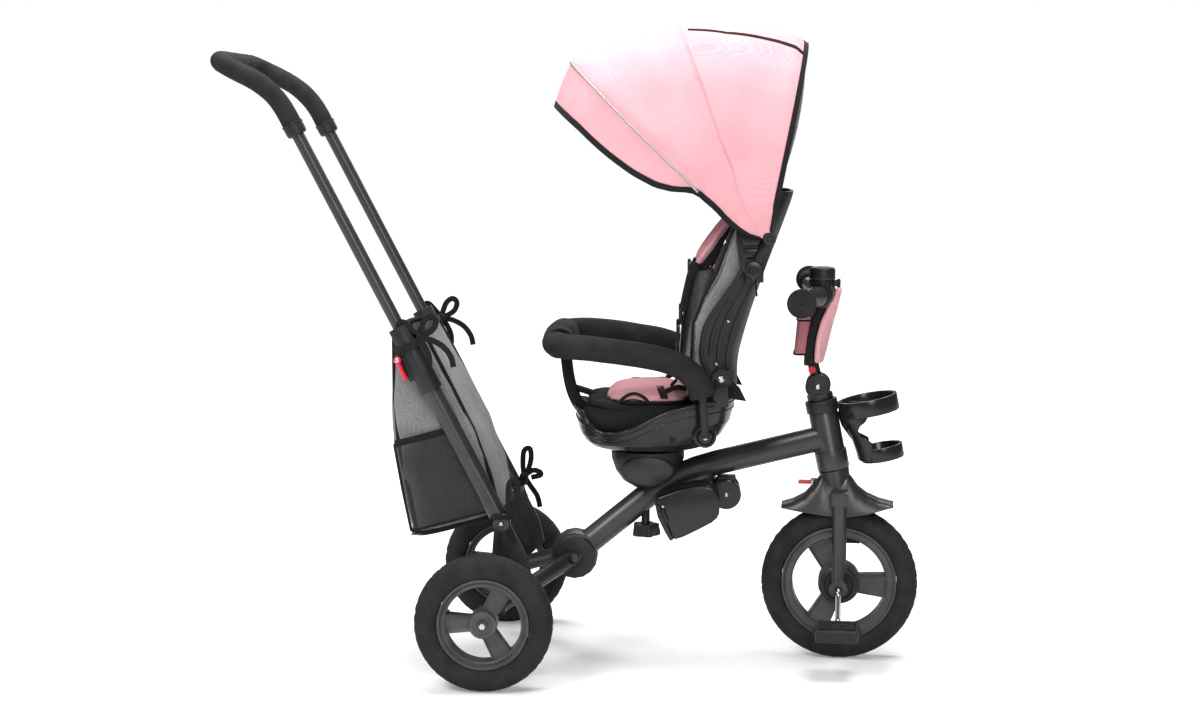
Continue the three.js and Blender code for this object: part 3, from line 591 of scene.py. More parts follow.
def canopy_cloth():
    def front(u, v):
        share = over(v)
        angle = edge_of(MID_SEAM, share) * (1 - u) + edge_of(LOWER_EDGE, share) * u
        point = canopy_point(angle, share)
        away = (point - CANOPY_PIVOT).normalized()
        return point + away * ripple(point + Vector((0, 3, 0)), 0.06, 0.0016) * arch_share(share)

    def rear(u, v):
        share = over(v)
        angle = edge_of(REAR_EDGE, share) * (1 - u) + edge_of(MID_SEAM, share) * u
        point = canopy_point(angle, share)
        away = (point - CANOPY_PIVOT).normalized()
        return point + away * ripple(point, 0.07, 0.0014) * arch_share(share)

    front_cloth = grid_piece(40, 84, front, (0.36, 0.95))
    rear_cloth = grid_piece(28, 84, rear, (0.20, 0.85))
    for piece, name, bodies, angles, node_name in (
        (
            front_cloth, "canopy_front_cloth", ("canopy_mid", "canopy_front"), (113.3, 138.5),
            "canopy_front_panel",
        ),
        (rear_cloth, "canopy_rear_cloth", ("backrest", "canopy_mid"), (80, 113.3), "canopy_rear_panel"),
    ):
        thicken(piece, 0.0011, 0)
        smooth(piece, 60)
        piece.name = name
        piece.data.materials.append(PINK)
        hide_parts(node_name)
        hang(piece, angles)


def hang(piece, angles):
    """Bake the cloth's place into its mesh; points on the hoops at the two angles are worked out but nothing uses
    them.
    """
    points = [
        CANOPY_PIVOT + 0.30 * Vector((math.cos(math.radians(a)), 0, math.sin(math.radians(a))))
        for a in angles
    ]
    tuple(points[0])
    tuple(points[1])
    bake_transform(piece)


def edge_tape(
    table, back, ahead, name, body, lo=0.0, hi=1.0, rows=5, columns=110, material=WEB, thick=0.0032,
):
    """Tape sewn round an edge of the cloth, back and ahead of it in degrees at the crown."""

    def rule(u, v):
        share = lo + (hi - lo) * over(v, 0.005)
        width = 1 / max(arch_share(share), 0.06)
        angle = edge_of(table, share) + (u * (back + ahead) - back) * min(width, 6)
        return canopy_point(angle, share, 0.0004)

    piece = grid_piece(rows, columns, rule, (0.012, 0.9))
    thicken(piece, thick, 0, thick * 0.3)
    smooth(outward(piece), 50)
    return keep(piece, name, material, body)


def canopy_trim():
    edge_tape(LOWER_EDGE, 1.15, 0.25, "canopy_front_binding", "canopy_front")
    edge_tape(REAR_EDGE, 0.3, 1.2, "canopy_rear_binding", "backrest", thick=0.0028)
    low = next(s / 400 for s in range(1, 200) if arch_share(s / 400) > 0.325)
    steps = [low + (1 - 2 * low) * i / 120 for i in range(121)]
    piping = bar([canopy_point(edge_of(PIPING_LINE, s), s, 0.0016) for s in steps], 0.0017, 4)
    keep(piping, "canopy_reflective_piping", PIPING, "canopy_front")
    seam = []
    for shift in (-0.35, 0.35):
        steps = [0.012 + 0.976 * i / 120 for i in range(121)]
        seam.append(bar([canopy_point(edge_of(MID_SEAM, s) + shift, s, 0.0009) for s in steps], 0.0007, 2))
    keep(joined(seam), "canopy_mid_seam", PINK, "canopy_mid")

    tapes = []
    for side in (-1, 1):
        def rule(u, v, side=side):
            angle = 111.5 - 33 * v
            share = 0.5 + side * ((0.075 + 0.065 * v) + (u - 0.5) * 0.012)
            return canopy_point(angle, share, 0.0012)
        tapes.append(smooth(outward(thicken(grid_piece(4, 40, rule), 0.0022, 0, 0.0006)), 50))
    keep(joined(tapes), "canopy_crown_tape", WEB, "backrest")

    def back_net(u, v):
        share = 0.5 + (v - 0.5) * 0.72
        top = canopy_point(78.6, share, -0.003)
        foot = CANOPY_PIVOT + Vector((0.016, top.y - CANOPY_PIVOT.y, 0.082))
        foot.y = top.y * 0.86
        point = foot.lerp(top, u)
        bulge = math.sin(math.pi * u) * math.sin(math.pi * v) ** 0.5
        return point + Vector((0.012 * bulge, 0, 0))

    net_piece = grid_piece(40, 60, back_net, (0.22, 0.26))
    thicken(net_piece, 0.0006, 0)
    smooth(net_piece, 60)
    keep(net_piece, "canopy_back_net", NET, "backrest", ["canopy_back_panel"])
    area = sum(p.area for p in net_piece.data.polygons) / 2
    side = math.sqrt(area / 0.8)
    rim = [back_net(1, i / 40) for i in range(41)]
    low_rim = [back_net(0, i / 30) for i in range(31)]
    left = [back_net(i / 30, 0) for i in range(31)]
    right = [back_net(i / 30, 1) for i in range(31)]
    edges = joined([bar(line, 0.0028, 4) for line in (rim, low_rim, left, right)])
    keep(edges, "canopy_net_binding", WEB, "backrest")


# ---------------------------------------------------------------- wheels
def wheel_tyre(radius, rim, width, groove_count, name, origin, axis, body, node_name):
    half = width / 2
    outline = [
        (rim + 0.0005, -0.70 * half), (rim + 0.004, -0.86 * half), (rim + 0.012, -0.98 * half),
        (rim + 0.020, -half), (radius - 0.010, -0.90 * half), (radius - 0.0045, -0.74 * half),
        (radius - 0.0015, -0.50 * half), (radius, -0.22 * half), (radius, 0.0),
    ]
    outline += [(r, -z) for r, z in reversed(outline[:-1])]
    tyre = turned(outline, groove_count * 6, closed=True, angle=50)
    slice_angle = 2 * math.pi / groove_count
    for vertex in tyre.data.vertices:
        r = math.hypot(vertex.co.x, vertex.co.y)
        if r < radius - 0.012:
            continue
        phase = ((math.atan2(vertex.co.y, vertex.co.x) + 10 * vertex.co.z) / slice_angle) % 1
        deep = 0.0022 if phase < 0.30 and r > radius - 0.011 and abs(vertex.co.z) > 0.2 * half else 0
        if abs(vertex.co.z) < 0.02 * half:
            deep = 0.0012
        shrink = (r - deep) / r
        vertex.co.x *= shrink
        vertex.co.y *= shrink
    stand(tyre, origin, axis)
    return keep(tyre, name, TYRE, body, [node_name])


def spoke_wheel(rim, window, width, hub, spoke, angles, name, origin, axis, body, node_name):
    """Moulded rim: a dished ring with a raised lip, flared spokes with sunk faces, and a stepped hub."""
    half = 0.36 * width
    ring = turned([
        (window, -half * 0.9), (window + 0.002, -half), (window + 0.006, -half * 0.86),
        (rim - 0.006, -half * 0.86),
        (rim - 0.003, -half * 1.12), (rim, -half * 1.05), (rim, half * 1.05), (rim - 0.003, half * 1.12),
        (rim - 0.006, half * 0.86), (window + 0.006, half * 0.86), (window + 0.002, half),
        (window, half * 0.9),
    ], 96, closed=True, angle=40)
    deep = 0.46 * width
    barrel = turned([
        (0.0062, -deep), (hub * 0.62, -deep), (hub * 0.70, -deep + 0.002), (hub * 0.94, -deep + 0.003),
        (hub, -deep + 0.006), (hub, deep - 0.006), (hub * 0.94, deep - 0.003), (hub * 0.70, deep - 0.002),
        (hub * 0.62, deep), (0.0062, deep),
    ], 64, closed=True, angle=40)
    parts = [ring, barrel]
    for angle in angles:
        deselect()
        length = window + 0.003 - hub * 0.8
        bpy.ops.mesh.primitive_cube_add(size=1, location=(hub * 0.8 + length / 2, 0, 0))
        arm = bpy.context.object
        arm.scale = (length, spoke, half * 1.3)
        settle(arm)
        for vertex in arm.data.vertices:
            if vertex.co.x > hub + 0.01:
                vertex.co.y *= 1.35
        bpy.ops.object.mode_set(mode="EDIT")
        bpy.ops.mesh.select_all(action="DESELECT")
        bpy.ops.object.mode_set(mode="OBJECT")
        for face in arm.data.polygons:
            face.select = abs(face.normal.z) > 0.9
        bpy.ops.object.mode_set(mode="EDIT")
        bpy.ops.mesh.inset(thickness=0.0042, use_individual=True)
        bpy.ops.transform.resize(value=(1, 1, 0.55))
        bpy.ops.object.mode_set(mode="OBJECT")
        soften(arm, 0.0016, 2, 25)
        smooth(arm, 30)
        arm.matrix_world = Matrix.Rotation(math.radians(angle), 4, "Z")
        parts.append(settle(arm))
    wheel = joined(parts)
    stand(wheel, origin, axis, (1, 0, 0))
    smooth(wheel, 35)
    return keep(wheel, name, RIM, body, [node_name])


def wheels():
    front, spin = place("front_wheel_spin"), Vector(joint["front_wheel_spin"]["axis"])
    wheel_tyre(0.1268, 0.093, 0.046, 44, "front_tyre_finished", front, spin, "front_wheel", "front_tyre")
    spoke_wheel(
        0.093, 0.076, 0.046, 0.034, 0.030, (3, -117, 117), "front_rim_finished", front, spin, "front_wheel",
        "front_rim",
    )
    for side, sign in (("right", -1), ("left", 1)):
        centre = place(f"rear_wheel_{side}_spin")
        wheel_tyre(
            0.1074, 0.071, 0.046, 38, f"rear_tyre_{side}_finished", centre, (0, 1, 0), f"rear_wheel_{side}",
            f"rear_tyre_{side}",
        )
        spoke_wheel(
            0.071, 0.059, 0.046, 0.022, 0.024, (180, 60, -60), f"rear_rim_{side}_finished", centre, (0, 1, 0),
            f"rear_wheel_{side}", f"rear_rim_{side}",
        )
        cap = turned(
            [(0, 0.0052), (0.004, 0.0052), (0.0065, 0.0042), (0.0085, 0.0018), (0.0088, 0), (0, 0)], 6,
            angle=20,
        )
        nut = stand(cap, centre + Vector((0, sign * 0.0212, 0)), (0, sign, 0))
        keep(nut, f"axle_nut_{side}", RIVET, "rear_frame")


# ---------------------------------------------------------------- foam grips
def round_corners(corners, rounding, steps=6):
    points = [corners[0]]
    for before, here, after in zip(corners, corners[1:], corners[2:]):
        a = here + (before - here).normalized() * rounding
        b = here + (after - here).normalized() * rounding
        points += [a.lerp(here, t).lerp(here.lerp(b, t), t) for t in (i / steps for i in range(steps + 1))]
    return points + [corners[-1]]


def even(points, spacing):
    """The same line with points a given spacing apart."""
    result, carried = [points[0]], 0.0
    for a, b in zip(points, points[1:]):
        length = (b - a).length
        distance = spacing - carried
        while distance < length:
            result.append(a.lerp(b, distance / length))
            distance += spacing
        carried = (carried + length) % spacing
    return result + [points[-1]]


def foam_tube(points, radius, name, body, nodes, spacing=0.006, material=None):
    line = even(points, spacing)
    piece = bar(line, radius, 10)
    for vertex in piece.data.vertices:
        vertex.co += Vector((1, 1, 1)) * ripple(vertex.co, 0.03, 0.0004)
    smooth(piece, 60)
    return keep(piece, name, material or GRIP_FOAM, body, nodes)


def guard():
    half = [
        (-227, 139, 450), (-232, 139, 468), (-247, 139, 487), (-274, 139, 503), (-320, 139, 514),
        (-400, 139, 524.5), (-442, 121, 526), (-460, 79, 526), (-460, 0, 526),
    ]
    line = [at(*p) for p in half] + [at(x, -y, z) for x, y, z in reversed(half[:-1])]
    line = smooth_line(line, 8)
    foam_tube(line, 0.0198, "guard_foam_sleeve", "guard", ["guard_foam"])
    cross = [at(-458 + 0.0009 * y * y, y, 526) for y in range(-84, 85, 6)]
    cover = bar(cross, 0.0245, 8)
    for vertex in cover.data.vertices:
        vertex.co += Vector((1, 0, 1)) * (ripple(vertex.co, 0.022, 0.0030) + ripple(vertex.co, 0.05, 0.0020))
    smooth(cover, 60)
    keep(cover, "guard_bar_cover", WEB, "guard")


def smooth_line(points, steps):
    """A rounded line that passes through each point."""
    result = []
    for i in range(len(points) - 1):
        p0, p1 = points[max(i - 1, 0)], points[i]
        p2, p3 = points[i + 1], points[min(i + 2, len(points) - 1)]
        for k in range(steps):
            t = k / steps
            result.append(0.5 * (2 * p1 + (p2 - p0) * t + (2 * p0 - 5 * p1 + 4 * p2 - p3) * t * t
                                 + (3 * p1 - p0 - 3 * p2 + p3) * t ** 3))
    return result + [points[-1]]


LEAN = math.radians(27.2)


def on_handle(up, sign, behind=0.0, out=0.0):
    s, c = math.sin(LEAN), math.cos(LEAN)
    return at(-540 - s * up - c * behind, sign * (144 + out), 250 + c * up - s * behind)


def push_handle():
    def route(start):
        corner = [at(-976, sign * 144, 968) for sign in (-1, 1)]
        return round_corners(
            [
                on_handle(start, -1), on_handle(756, -1), corner[0], corner[1], on_handle(756, 1),
                on_handle(start, 1),
            ],
            0.042,
        )
    foam_tube(route(697), 0.0152, "handle_foam_grip", "handle_upper", ["handle_foam"])
    steel = [
        bar([on_handle(262, sign), on_handle(600, sign), on_handle(699, sign)], 0.00975, 7)
        for sign in (-1, 1)
    ]
    collars = []
    for sign in (-1, 1):
        outline = [
            (0.0098, 0), (0.0135, 0), (0.0155, 0.002), (0.016, 0.006), (0.016, 0.016), (0.0168, 0.0165),
            (0.0168, 0.0195), (0.0098, 0.0195),
        ]
        collar = turned(outline, 40, closed=True)
        up = (on_handle(700, sign) - on_handle(600, sign)).normalized()
        collars.append(stand(collar, on_handle(679, sign), up))
    keep(joined(steel), "telescopic_tubes", PAINT, "handle_upper", ["inner_handle"])
    keep(joined(collars), "telescopic_collars", BLACK, "handle_upper")


# ---------------------------------------------------------------- storage bag
BAG_LEVELS = [
    # height share, rear x, rear z, front x, front z, half width
    (0.0, -690, 219, -541, 258, 116), (0.06, -694, 236, -538, 272, 120), (0.30, -706, 300, -549, 320, 122),
    (0.52, -718, 368, -576, 392, 122), (0.76, -720, 446, -618, 470, 121), (1.0, -716, 542, -663, 548, 118),
]


def bag_point(level, around, inset=0.0):
    """A point of the bag's wall: level 0 at the bottom to 1 at the mouth, around from 0 to 1."""
    rows = BAG_LEVELS
    i = next((k for k in range(len(rows) - 1) if level <= rows[k + 1][0]), len(rows) - 2)
    a, b = rows[i], rows[i + 1]
    t = (level - a[0]) / (b[0] - a[0])
    rear_x, rear_z, front_x, front_z, half = (p + (q - p) * t for p, q in zip(a[1:], b[1:]))
    turn = 2 * math.pi * around
    c, s = math.cos(turn), math.sin(turn)
    c, s = math.copysign(abs(c) ** 0.55, c), math.copysign(abs(s) ** 0.55, s)
    x = (rear_x + front_x) / 2 + c * ((front_x - rear_x) / 2 - inset)
    z = rear_z + (front_z - rear_z) * (x - rear_x) / (front_x - rear_x)
    return at(x, s * (half - inset), z)


def bag():
    def wall(u, v):
        point = bag_point(u, v)
        middle = bag_point(u, 0).lerp(bag_point(u, 0.5), 0.5)
        away = (point - middle).normalized()
        slack = math.sin(math.pi * min(u * 1.15, 1))
        point = point + away * (ripple(point, 0.075, 0.006) + ripple(point, 0.028, 0.0014)) * slack
        local_x = point.x - FRONT_AXLE_X
        across = (local_x + 0.540) + 0.514 * (point.z - 0.250)
        if across > -0.006:
            fold = math.sin(across * 480 + 2.2 * math.sin(point.z * 21)) * 0.0032
            point.y += math.copysign(
                fold * min(1, (across + 0.006) / 0.02), point.y,
            ) * math.sin(math.pi * min(u, 1)) ** 0.5
        if local_x < -0.69:
            point.x -= 0.006 * slack
        return point

    shell = grid_piece(56, 120, wall, (0.34, 0.72))
    floor = grid_piece(24, 28, lambda u, v: at(
        -690 + 149 * u, (116 - 3) * (2 * v - 1) * (1 - 0.18 * abs(2 * u - 1) ** 6),
        219 + 39 * u - 5 * math.sin(math.pi * u) * math.sin(math.pi * v),
    ), (0.15, 0.23))
    shell = joined([shell, floor])
    outward(shell)
    thicken(shell, 0.0014, -1)
    smooth(shell, 60)
    keep(shell, "storage_bag_cloth", GREY, "push_handle", ["storage_bag"])



# ---------------------------------------------------------------- the turned steering group
STEER_AXIS = Vector(joint["steer"]["axis"])
STEERED = (
    Matrix.Translation(place("steer")) @ Matrix.Rotation(math.radians(-5.6), 4, STEER_AXIS)
    @ Matrix.Translation(-place("steer"))
)


def steered(piece):
    """Turn a piece made with the front wheel straight to where the handlebar rests."""
    piece.matrix_world = STEERED @ piece.matrix_world
    return settle(piece)


def block(corner_a, corner_b, bevel=0.001):
    """A rounded box between two corners in millimetres."""
    a, b = at(*corner_a), at(*corner_b)
    deselect()
    bpy.ops.mesh.primitive_cube_add(size=1, location=(a + b) / 2)
    piece = bpy.context.object
    piece.scale = [abs(p - q) for p, q in zip(a, b)]
    settle(piece)
    return smooth(soften(piece, bevel, 3, 30), 40) if bevel else piece


def stuffed(piece, voxel=0.005, pressure=4.0, most=0.010):
    """Even out a casing and let its filling push it round."""
    even_out = piece.modifiers.new("even", "REMESH")
    even_out.mode, even_out.voxel_size = "VOXEL", voxel
    apply_all(piece)
    before = [v.co.copy() for v in piece.data.vertices]
    filling = piece.modifiers.new("filling", "CLOTH")
    filling.settings.quality = 4
    filling.settings.mass = 0.25
    filling.settings.tension_stiffness = filling.settings.compression_stiffness = 18
    filling.settings.use_pressure = True
    filling.settings.uniform_pressure_force = pressure
    filling.settings.effector_weights.gravity = 0
    filling.collision_settings.use_collision = False
    filling.point_cache.frame_start, filling.point_cache.frame_end = 1, 20
    for frame_number in range(1, 21):
        bpy.context.scene.frame_set(frame_number)
    apply_all(piece)
    bpy.context.scene.frame_set(1)
    for vertex, old in zip(piece.data.vertices, before):
        moved = vertex.co - old
        if moved.length > most:
            vertex.co = old + moved * (most / moved.length)
    subdivided(piece, 1)
    return smooth(piece, 80)


def tube_between(rings, columns=48):
    """A closed casing through rings: each a function of the share of the way round."""
    count = len(rings) - 1

    def rule(u, v):
        spot = u * count
        i = min(int(spot), count - 1)
        return rings[i](v).lerp(rings[i + 1](v), spot - i)

    piece = grid_piece(count * 3, columns, rule)
    select_only(piece)
    bpy.ops.object.mode_set(mode="EDIT")
    bpy.ops.mesh.select_all(action="SELECT")
    bpy.ops.mesh.remove_doubles(threshold=0.0001)
    bpy.ops.mesh.select_all(action="DESELECT")
    bpy.ops.mesh.select_non_manifold()
    bpy.ops.mesh.fill_holes(sides=0)
    bpy.ops.mesh.select_all(action="SELECT")
    bpy.ops.mesh.normals_make_consistent(inside=False)
    bpy.ops.object.mode_set(mode="OBJECT")
    return piece


def oval(x, half_length, half_width, z, power=0.7, y=0.0, tilt=0.0):
    def ring(v):
        c, s = math.cos(2 * math.pi * v), math.sin(2 * math.pi * v)
        px = x + half_length * math.copysign(abs(c) ** power, c)
        py = y + half_width * math.copysign(abs(s) ** power, s)
        return at(px, py, z + tilt * (px - x))
    return ring


# ---------------------------------------------------------------- seat
BUCKET = [
    # height, middle, half length, half width
    (350, -313, 66, 62), (353, -313, 80, 78), (358, -312, 93, 94), (366, -310, 104, 108),
    (378, -307.5, 114, 119.5),
    (400, -304, 124, 130), (425, -302, 128, 134), (443, -301, 129, 135),
]
RIM_LINE = [
    (-460, 424), (-428, 423), (-416, 417), (-404, 401), (-394, 391), (-382, 387), (-364, 388), (-338, 395.5),
    (-314, 408),
    (-293, 419), (-268, 428.5), (-242, 435), (-200, 438.5), (-150, 440),
]


def bucket_ring(z):
    return [curve_through([(level[0], level[k]) for level in BUCKET], z) for k in (1, 2, 3)]


def bucket_point(around, share=None, below=0.0, proud=0.0):
    """A point on the seat shell: a share of the way up to its rim, or some way below the rim."""
    c, s = math.cos(2 * math.pi * around), math.sin(2 * math.pi * around)
    c, s = math.copysign(abs(c) ** 0.7, c), math.copysign(abs(s) ** 0.7, s)
    z, x = 420.0, -302.0
    for _ in range(6):
        rim = curve_through(RIM_LINE, x)
        z = rim - below if share is None else 350 + (rim - 350) * share
        middle, length, width = bucket_ring(z)
        x = middle + c * (length + proud)
    return at(x, s * (width + proud), z)


def bucket_side(x, z, proud=0.0):
    middle, length, width = bucket_ring(z)
    c = min(abs(x - middle) / length, 1) ** (1 / 0.7)
    return -(width * (1 - c * c) ** 0.35 + proud)


def seat_bucket():
    def shell(u, v):
        if u < 0.14:
            middle = at(-313, 0, 350)
            return middle.lerp(bucket_point(v, 0.0), u / 0.14)
        return bucket_point(v, ((u - 0.14) / 0.86) ** 1.15)

    bowl = outward(grid_piece(44, 150, shell))
    bowl.modifiers.new("wall", "SOLIDIFY").thickness = 0.0048
    bowl.modifiers["wall"].offset = -1
    apply_all(bowl)
    soften(bowl, 0.0010, 2, 50)
    smooth(bowl, 40)
    ears = [
        joined([
            stand(
                turned([(0, 0), (0.014, 0), (0.014, 0.006), (0, 0.006)], 40), at(-198, sign * 106, 474),
                (0, sign, 0),
            ),
            block((-210, sign * 106, 430), (-186, sign * 112, 474), 0.001),
        ])
        for sign in (-1, 1)
    ]
    shell_piece = joined([bowl] + ears)
    keep(shell_piece, "seat_bucket", GLOSS, "seat", ["seat_shell"])

    lines = []
    for below, radius in ((0.6, 0.0021), (6.5, 0.0013), (18, 0.0012)):
        lines.append(
            bar([bucket_point(i / 160, None, below, 0.2) for i in range(160)], radius, 4, closed=True)
        )
    keep(joined(lines), "seat_bucket_ridges", GLOSS, "seat")

    marks, bosses, screws = [], [], []
    for sign in (-1, 1):
        for x, z, wide, tall in ((-272.5, 379.8, 4.6, 8.4), (-247, 379.5, 4.2, 8.4), (-341, 364, 3.6, 3.6)):
            y = bucket_side(x, z, -0.4)
            # Each slot is a thin near-black disc on the shell's face, painted shade in place of a cut hole.
            hole = turned([(0, 0), (0.001, 0), (0.001, 0.0012), (0, 0.0012)], 28)
            hole.scale = (wide, tall, 1)
            settle(hole)
            slope = Vector((0.22 if x > -300 else -0.1, -1, -0.28 if z > 370 else -0.75))
            slope.y, y = (slope.y, y) if sign < 0 else (1, -y)
            marks.append(stand(hole, at(x, y, z), slope, (1, 0, 0)))
        y = 119.4
        boss = turned(
            [
                (0.0105, 0), (0.0105, 0.0016), (0.014, 0.003), (0.0175, 0.0016), (0.018, -0.004),
                (0.0105, -0.004),
            ],
            40, closed=True,
        )
        bosses.append(stand(boss, at(-222, sign * y, 384), (0, sign, 0)))
        screws.append(rivet(at(-222, sign * 130, 384), (0, sign, 0), 0.0042, 0.0022))
        screws.append(rivet(at(-198, sign * 113.2, 474), (0, sign, 0), 0.0055, 0.0024))
    keep(joined(marks), "seat_shell_slots", HOLE_SHADE, "seat")
    keep(joined(bosses), "seat_shell_bosses", GLOSS, "seat")
    keep(joined(screws), "seat_screws", RIVET, "seat")


def seat_pads():
    base = tube_between([
        oval(-318, 60, 66, 366), oval(-318, 84, 90, 376), oval(-322, 96, 106, 392), oval(-328, 94, 108, 406),
        oval(-328, 90, 104, 420, tilt=0.05), oval(-326, 84, 100, 429, tilt=0.05),
        oval(-324, 56, 72, 432, tilt=0.05),
    ])
    stuffed(base, 0.005, 3.0, 0.006)
    keep(base, "seat_pad_base", WEB, "seat", ["seat_cushion"])
    lip = tube_between([
        oval(-345, 62, 100, 417, tilt=-0.14), oval(-345, 66, 103, 420, tilt=-0.14),
        oval(-345, 66, 103, 426, tilt=-0.14),
        oval(-345, 60, 98, 429, tilt=-0.14),
    ])
    stuffed(lip, 0.0045, 1.0, 0.004)
    keep(lip, "seat_pad_apron", WEB, "seat")

    def crown(x, half_length, half_width, z):
        return oval(x, half_length, half_width, z, 0.62)

    top = tube_between([
        crown(-312, 52, 74, 430), crown(-313, 68, 92, 432), crown(-313, 69, 95, 437),
        crown(-311, 60, 91, 445.5),
        crown(-308, 48, 80, 450), crown(-306, 26, 44, 452),
    ])
    stuffed(top, 0.0045, 3.0, 0.004)
    for vertex in top.data.vertices:
        y = vertex.co.y
        if vertex.co.z > 0.442:
            vertex.co.z -= 0.0035 * math.exp(-((abs(y) - 0.052) / 0.004) ** 2)
            vertex.co.z += ripple(vertex.co, 0.035, 0.0012)
    keep(top, "seat_pad_top", PINK, "seat")

    edge = bar([crown(-313, 68.5, 94.5, 434)(i / 140) for i in range(140)], 0.0024, 4, closed=True)
    motifs = []
    for sign in (-1, 1):
        arch = []
        for i in range(25):
            t = i / 24
            x = -357 + 46 * t
            z = 433.5 + 14.5 * math.sin(math.pi * t) ** 0.7
            arch.append(at(x, sign * (95.5 - 0.02 * max(0, z - 437) ** 2), z))
        motifs.append(bar(arch, 0.0027, 4))
        lens = bar(
            [
                at(-352 + 34 * i / 12, sign * 95.8, 435.6 + 3.2 * math.sin(math.pi * i / 12))
                for i in range(13)
            ],
            0.0012, 4,
        )
        motifs.append(lens)
    keep(joined([edge] + motifs), "seat_pad_piping", WEB, "seat")


# ---------------------------------------------------------------- backrest
BACK = [
    # height, back, wing edge, half width
    (454, -172, -196, 96), (500, -172, -232, 110), (560, -156, -226, 117), (640, -130, -168, 122),
    (720, -100, -130, 112),
    (770, -82, -104, 86),
]
PAD_WING = [(474, -236), (500, -246), (560, -244), (600, -229), (640, -207), (720, -178), (762, -152)]


def rounded(table, x):
    """The table read with its corners rounded off."""
    return sum(curve_through(table, x + shift) for shift in (-18, -9, 0, 9, 18)) / 5


def back_point(z, a, inset, wing=None):
    """The bucket-shaped backrest at a height, from one wing at a = -1 round to the other at 1."""
    back = rounded([(r[0], r[1]) for r in BACK], z)
    half = rounded([(r[0], r[3]) for r in BACK], z)
    wing = rounded([(r[0], r[2]) for r in BACK], z) if wing is None else wing
    turn = a * math.pi / 2
    depth = max(back - wing - inset, 4)
    s = math.sin(turn)
    return at(
        back - inset - depth * (1 - math.cos(turn) ** 0.8), (half - inset) * math.copysign(abs(s) ** 0.8, s),
        z,
    )


def backrest():
    def shell(u, v):
        return back_point(458 + 308 * u, 2 * v - 1, 0)

    wall = grid_piece(50, 70, shell)
    outward(wall)
    thick = wall.modifiers.new("wall", "SOLIDIFY")
    thick.thickness, thick.offset = 0.0052, 0
    apply_all(wall)
    soften(wall, 0.0014, 3, 50)
    smooth(wall, 40)
    ribs = []
    for side in (-1, 1):
        for a, lo, hi in ((0.60, 486, 640), (0.78, 498, 628), (0.9, 512, 600)):
            line = [back_point(lo + (hi - lo) * i / 30, side * a, -2.2) for i in range(31)]
            ribs.append(bar(line, 0.0034, 5))
        edge = [back_point(462 + 300 * i / 60, side * 0.995, -0.4) for i in range(61)]
        ribs.append(bar(edge, 0.0036, 5))
        lug = turned(
            [(0, 0), (0.014, 0), (0.0155, 0.001), (0.0155, 0.0062), (0.014, 0.0068), (0, 0.0068)], 40,
        )
        ribs.append(stand(lug, at(-198, side * 98.8, 474), (0, side, 0)))
        ribs.append(block((-206, side * 84, 462), (-180, side * 99, 486), 0.002))
    piece = joined([wall] + ribs)
    keep(piece, "backrest_shell", BLACK, "backrest", ["back_shell"])
    dots = [
        rivet(at(x, sign * y, z), (0.3, sign, 0), 0.0022, 0.0010) for x, y,
        z in ((-187, 119.5, 566), (-205, 112, 498)) for sign in (-1, 1)
    ]
    keep(joined(dots), "backrest_screws", RIVET, "backrest")

    def casing(level):
        wing = curve_through(PAD_WING, level)
        deep = 25 if 490 < level < 750 else 17

        def ring(v):
            v = v % 1
            if v < 0.5:
                return back_point(level, 4 * v - 1, 6.5, wing)
            point = back_point(level, 3 - 4 * v, 6.5 + deep, wing + 3)
            return point

        return ring

    pad = tube_between([casing(z) for z in (476, 486, 500, 530, 560, 600, 640, 680, 720, 745, 760)], 90)
    stuffed(pad, 0.005, 2.5, 0.004)
    for vertex in pad.data.vertices:
        for level in (540, 608, 676):
            gap = (vertex.co.z - level * MM) / 0.0035
            if abs(gap) < 3:
                vertex.co.x += 0.0022 * math.exp(-gap * gap)
    keep(pad, "back_pad", GREY, "backrest", ["back_cushion"])
    pipes = []
    for side in (-1, 1):
        line = []
        for i in range(60):
            level = 482 + 274 * i / 59
            wing = curve_through(PAD_WING, level)
            line.append(back_point(level, side * 0.99, 6.0, wing) + Vector((-0.001, 0, 0)))
        pipes.append(bar(line, 0.0022, 4))
        inner = []
        for i in range(60):
            level = 486 + 262 * i / 59
            wing = curve_through(PAD_WING, level)
            inner.append(back_point(level, side * 0.80, 30.5, wing + 2) + Vector((-0.0016, 0, 0)))
        pipes.append(bar(inner, 0.0016, 4))
    keep(joined(pipes), "back_pad_piping", WEB, "backrest")

    def head_ring(t):
        x, z = -180 - 57 * t, 727 - 80 * t
        half = 60 - 8 * abs(2 * t - 1) ** 3

        def ring(v):
            c, s = math.cos(2 * math.pi * v), math.sin(2 * math.pi * v)
            side = math.copysign(abs(s) ** 0.6, s) * half
            deep = math.copysign(abs(c) ** 0.8, c) * 7.5
            curl = -10 * abs(side / 60) ** 2
            return at(x + 0.81 * deep + curl + 6, side, z - 0.58 * deep)

        return ring

    head = tube_between([head_ring(t) for t in (0, 0.06, 0.2, 0.4, 0.6, 0.8, 0.94, 1)], 60)
    stuffed(head, 0.004, 2.5, 0.004)
    keep(head, "head_pad", PINK, "backrest")


def head_backing():
    """The black yoke that fills the wedge between the head pad and the back pad."""
    piece = soft_plate(
        [(-176, 722), (-228, 652), (-236, 643), (-222, 640), (-205, 655), (-186, 700)], -50, 50, 0.004,
    )
    keep(piece, "head_pad_backing", WEB, "backrest")
    def slab(z):
        front = curve_through([(480, -262), (500, -261), (556, -254), (606, -244), (640, -236)], z)
        return oval(front + 15, 15, 66 - 0.15 * (z - 480), z)

    core = tube_between([slab(z) for z in (484, 492, 520, 550, 580, 610, 632, 640)], 40)
    stuffed(core, 0.005, 2.0, 0.004)
    keep(core, "back_pad_middle", GREY, "backrest")


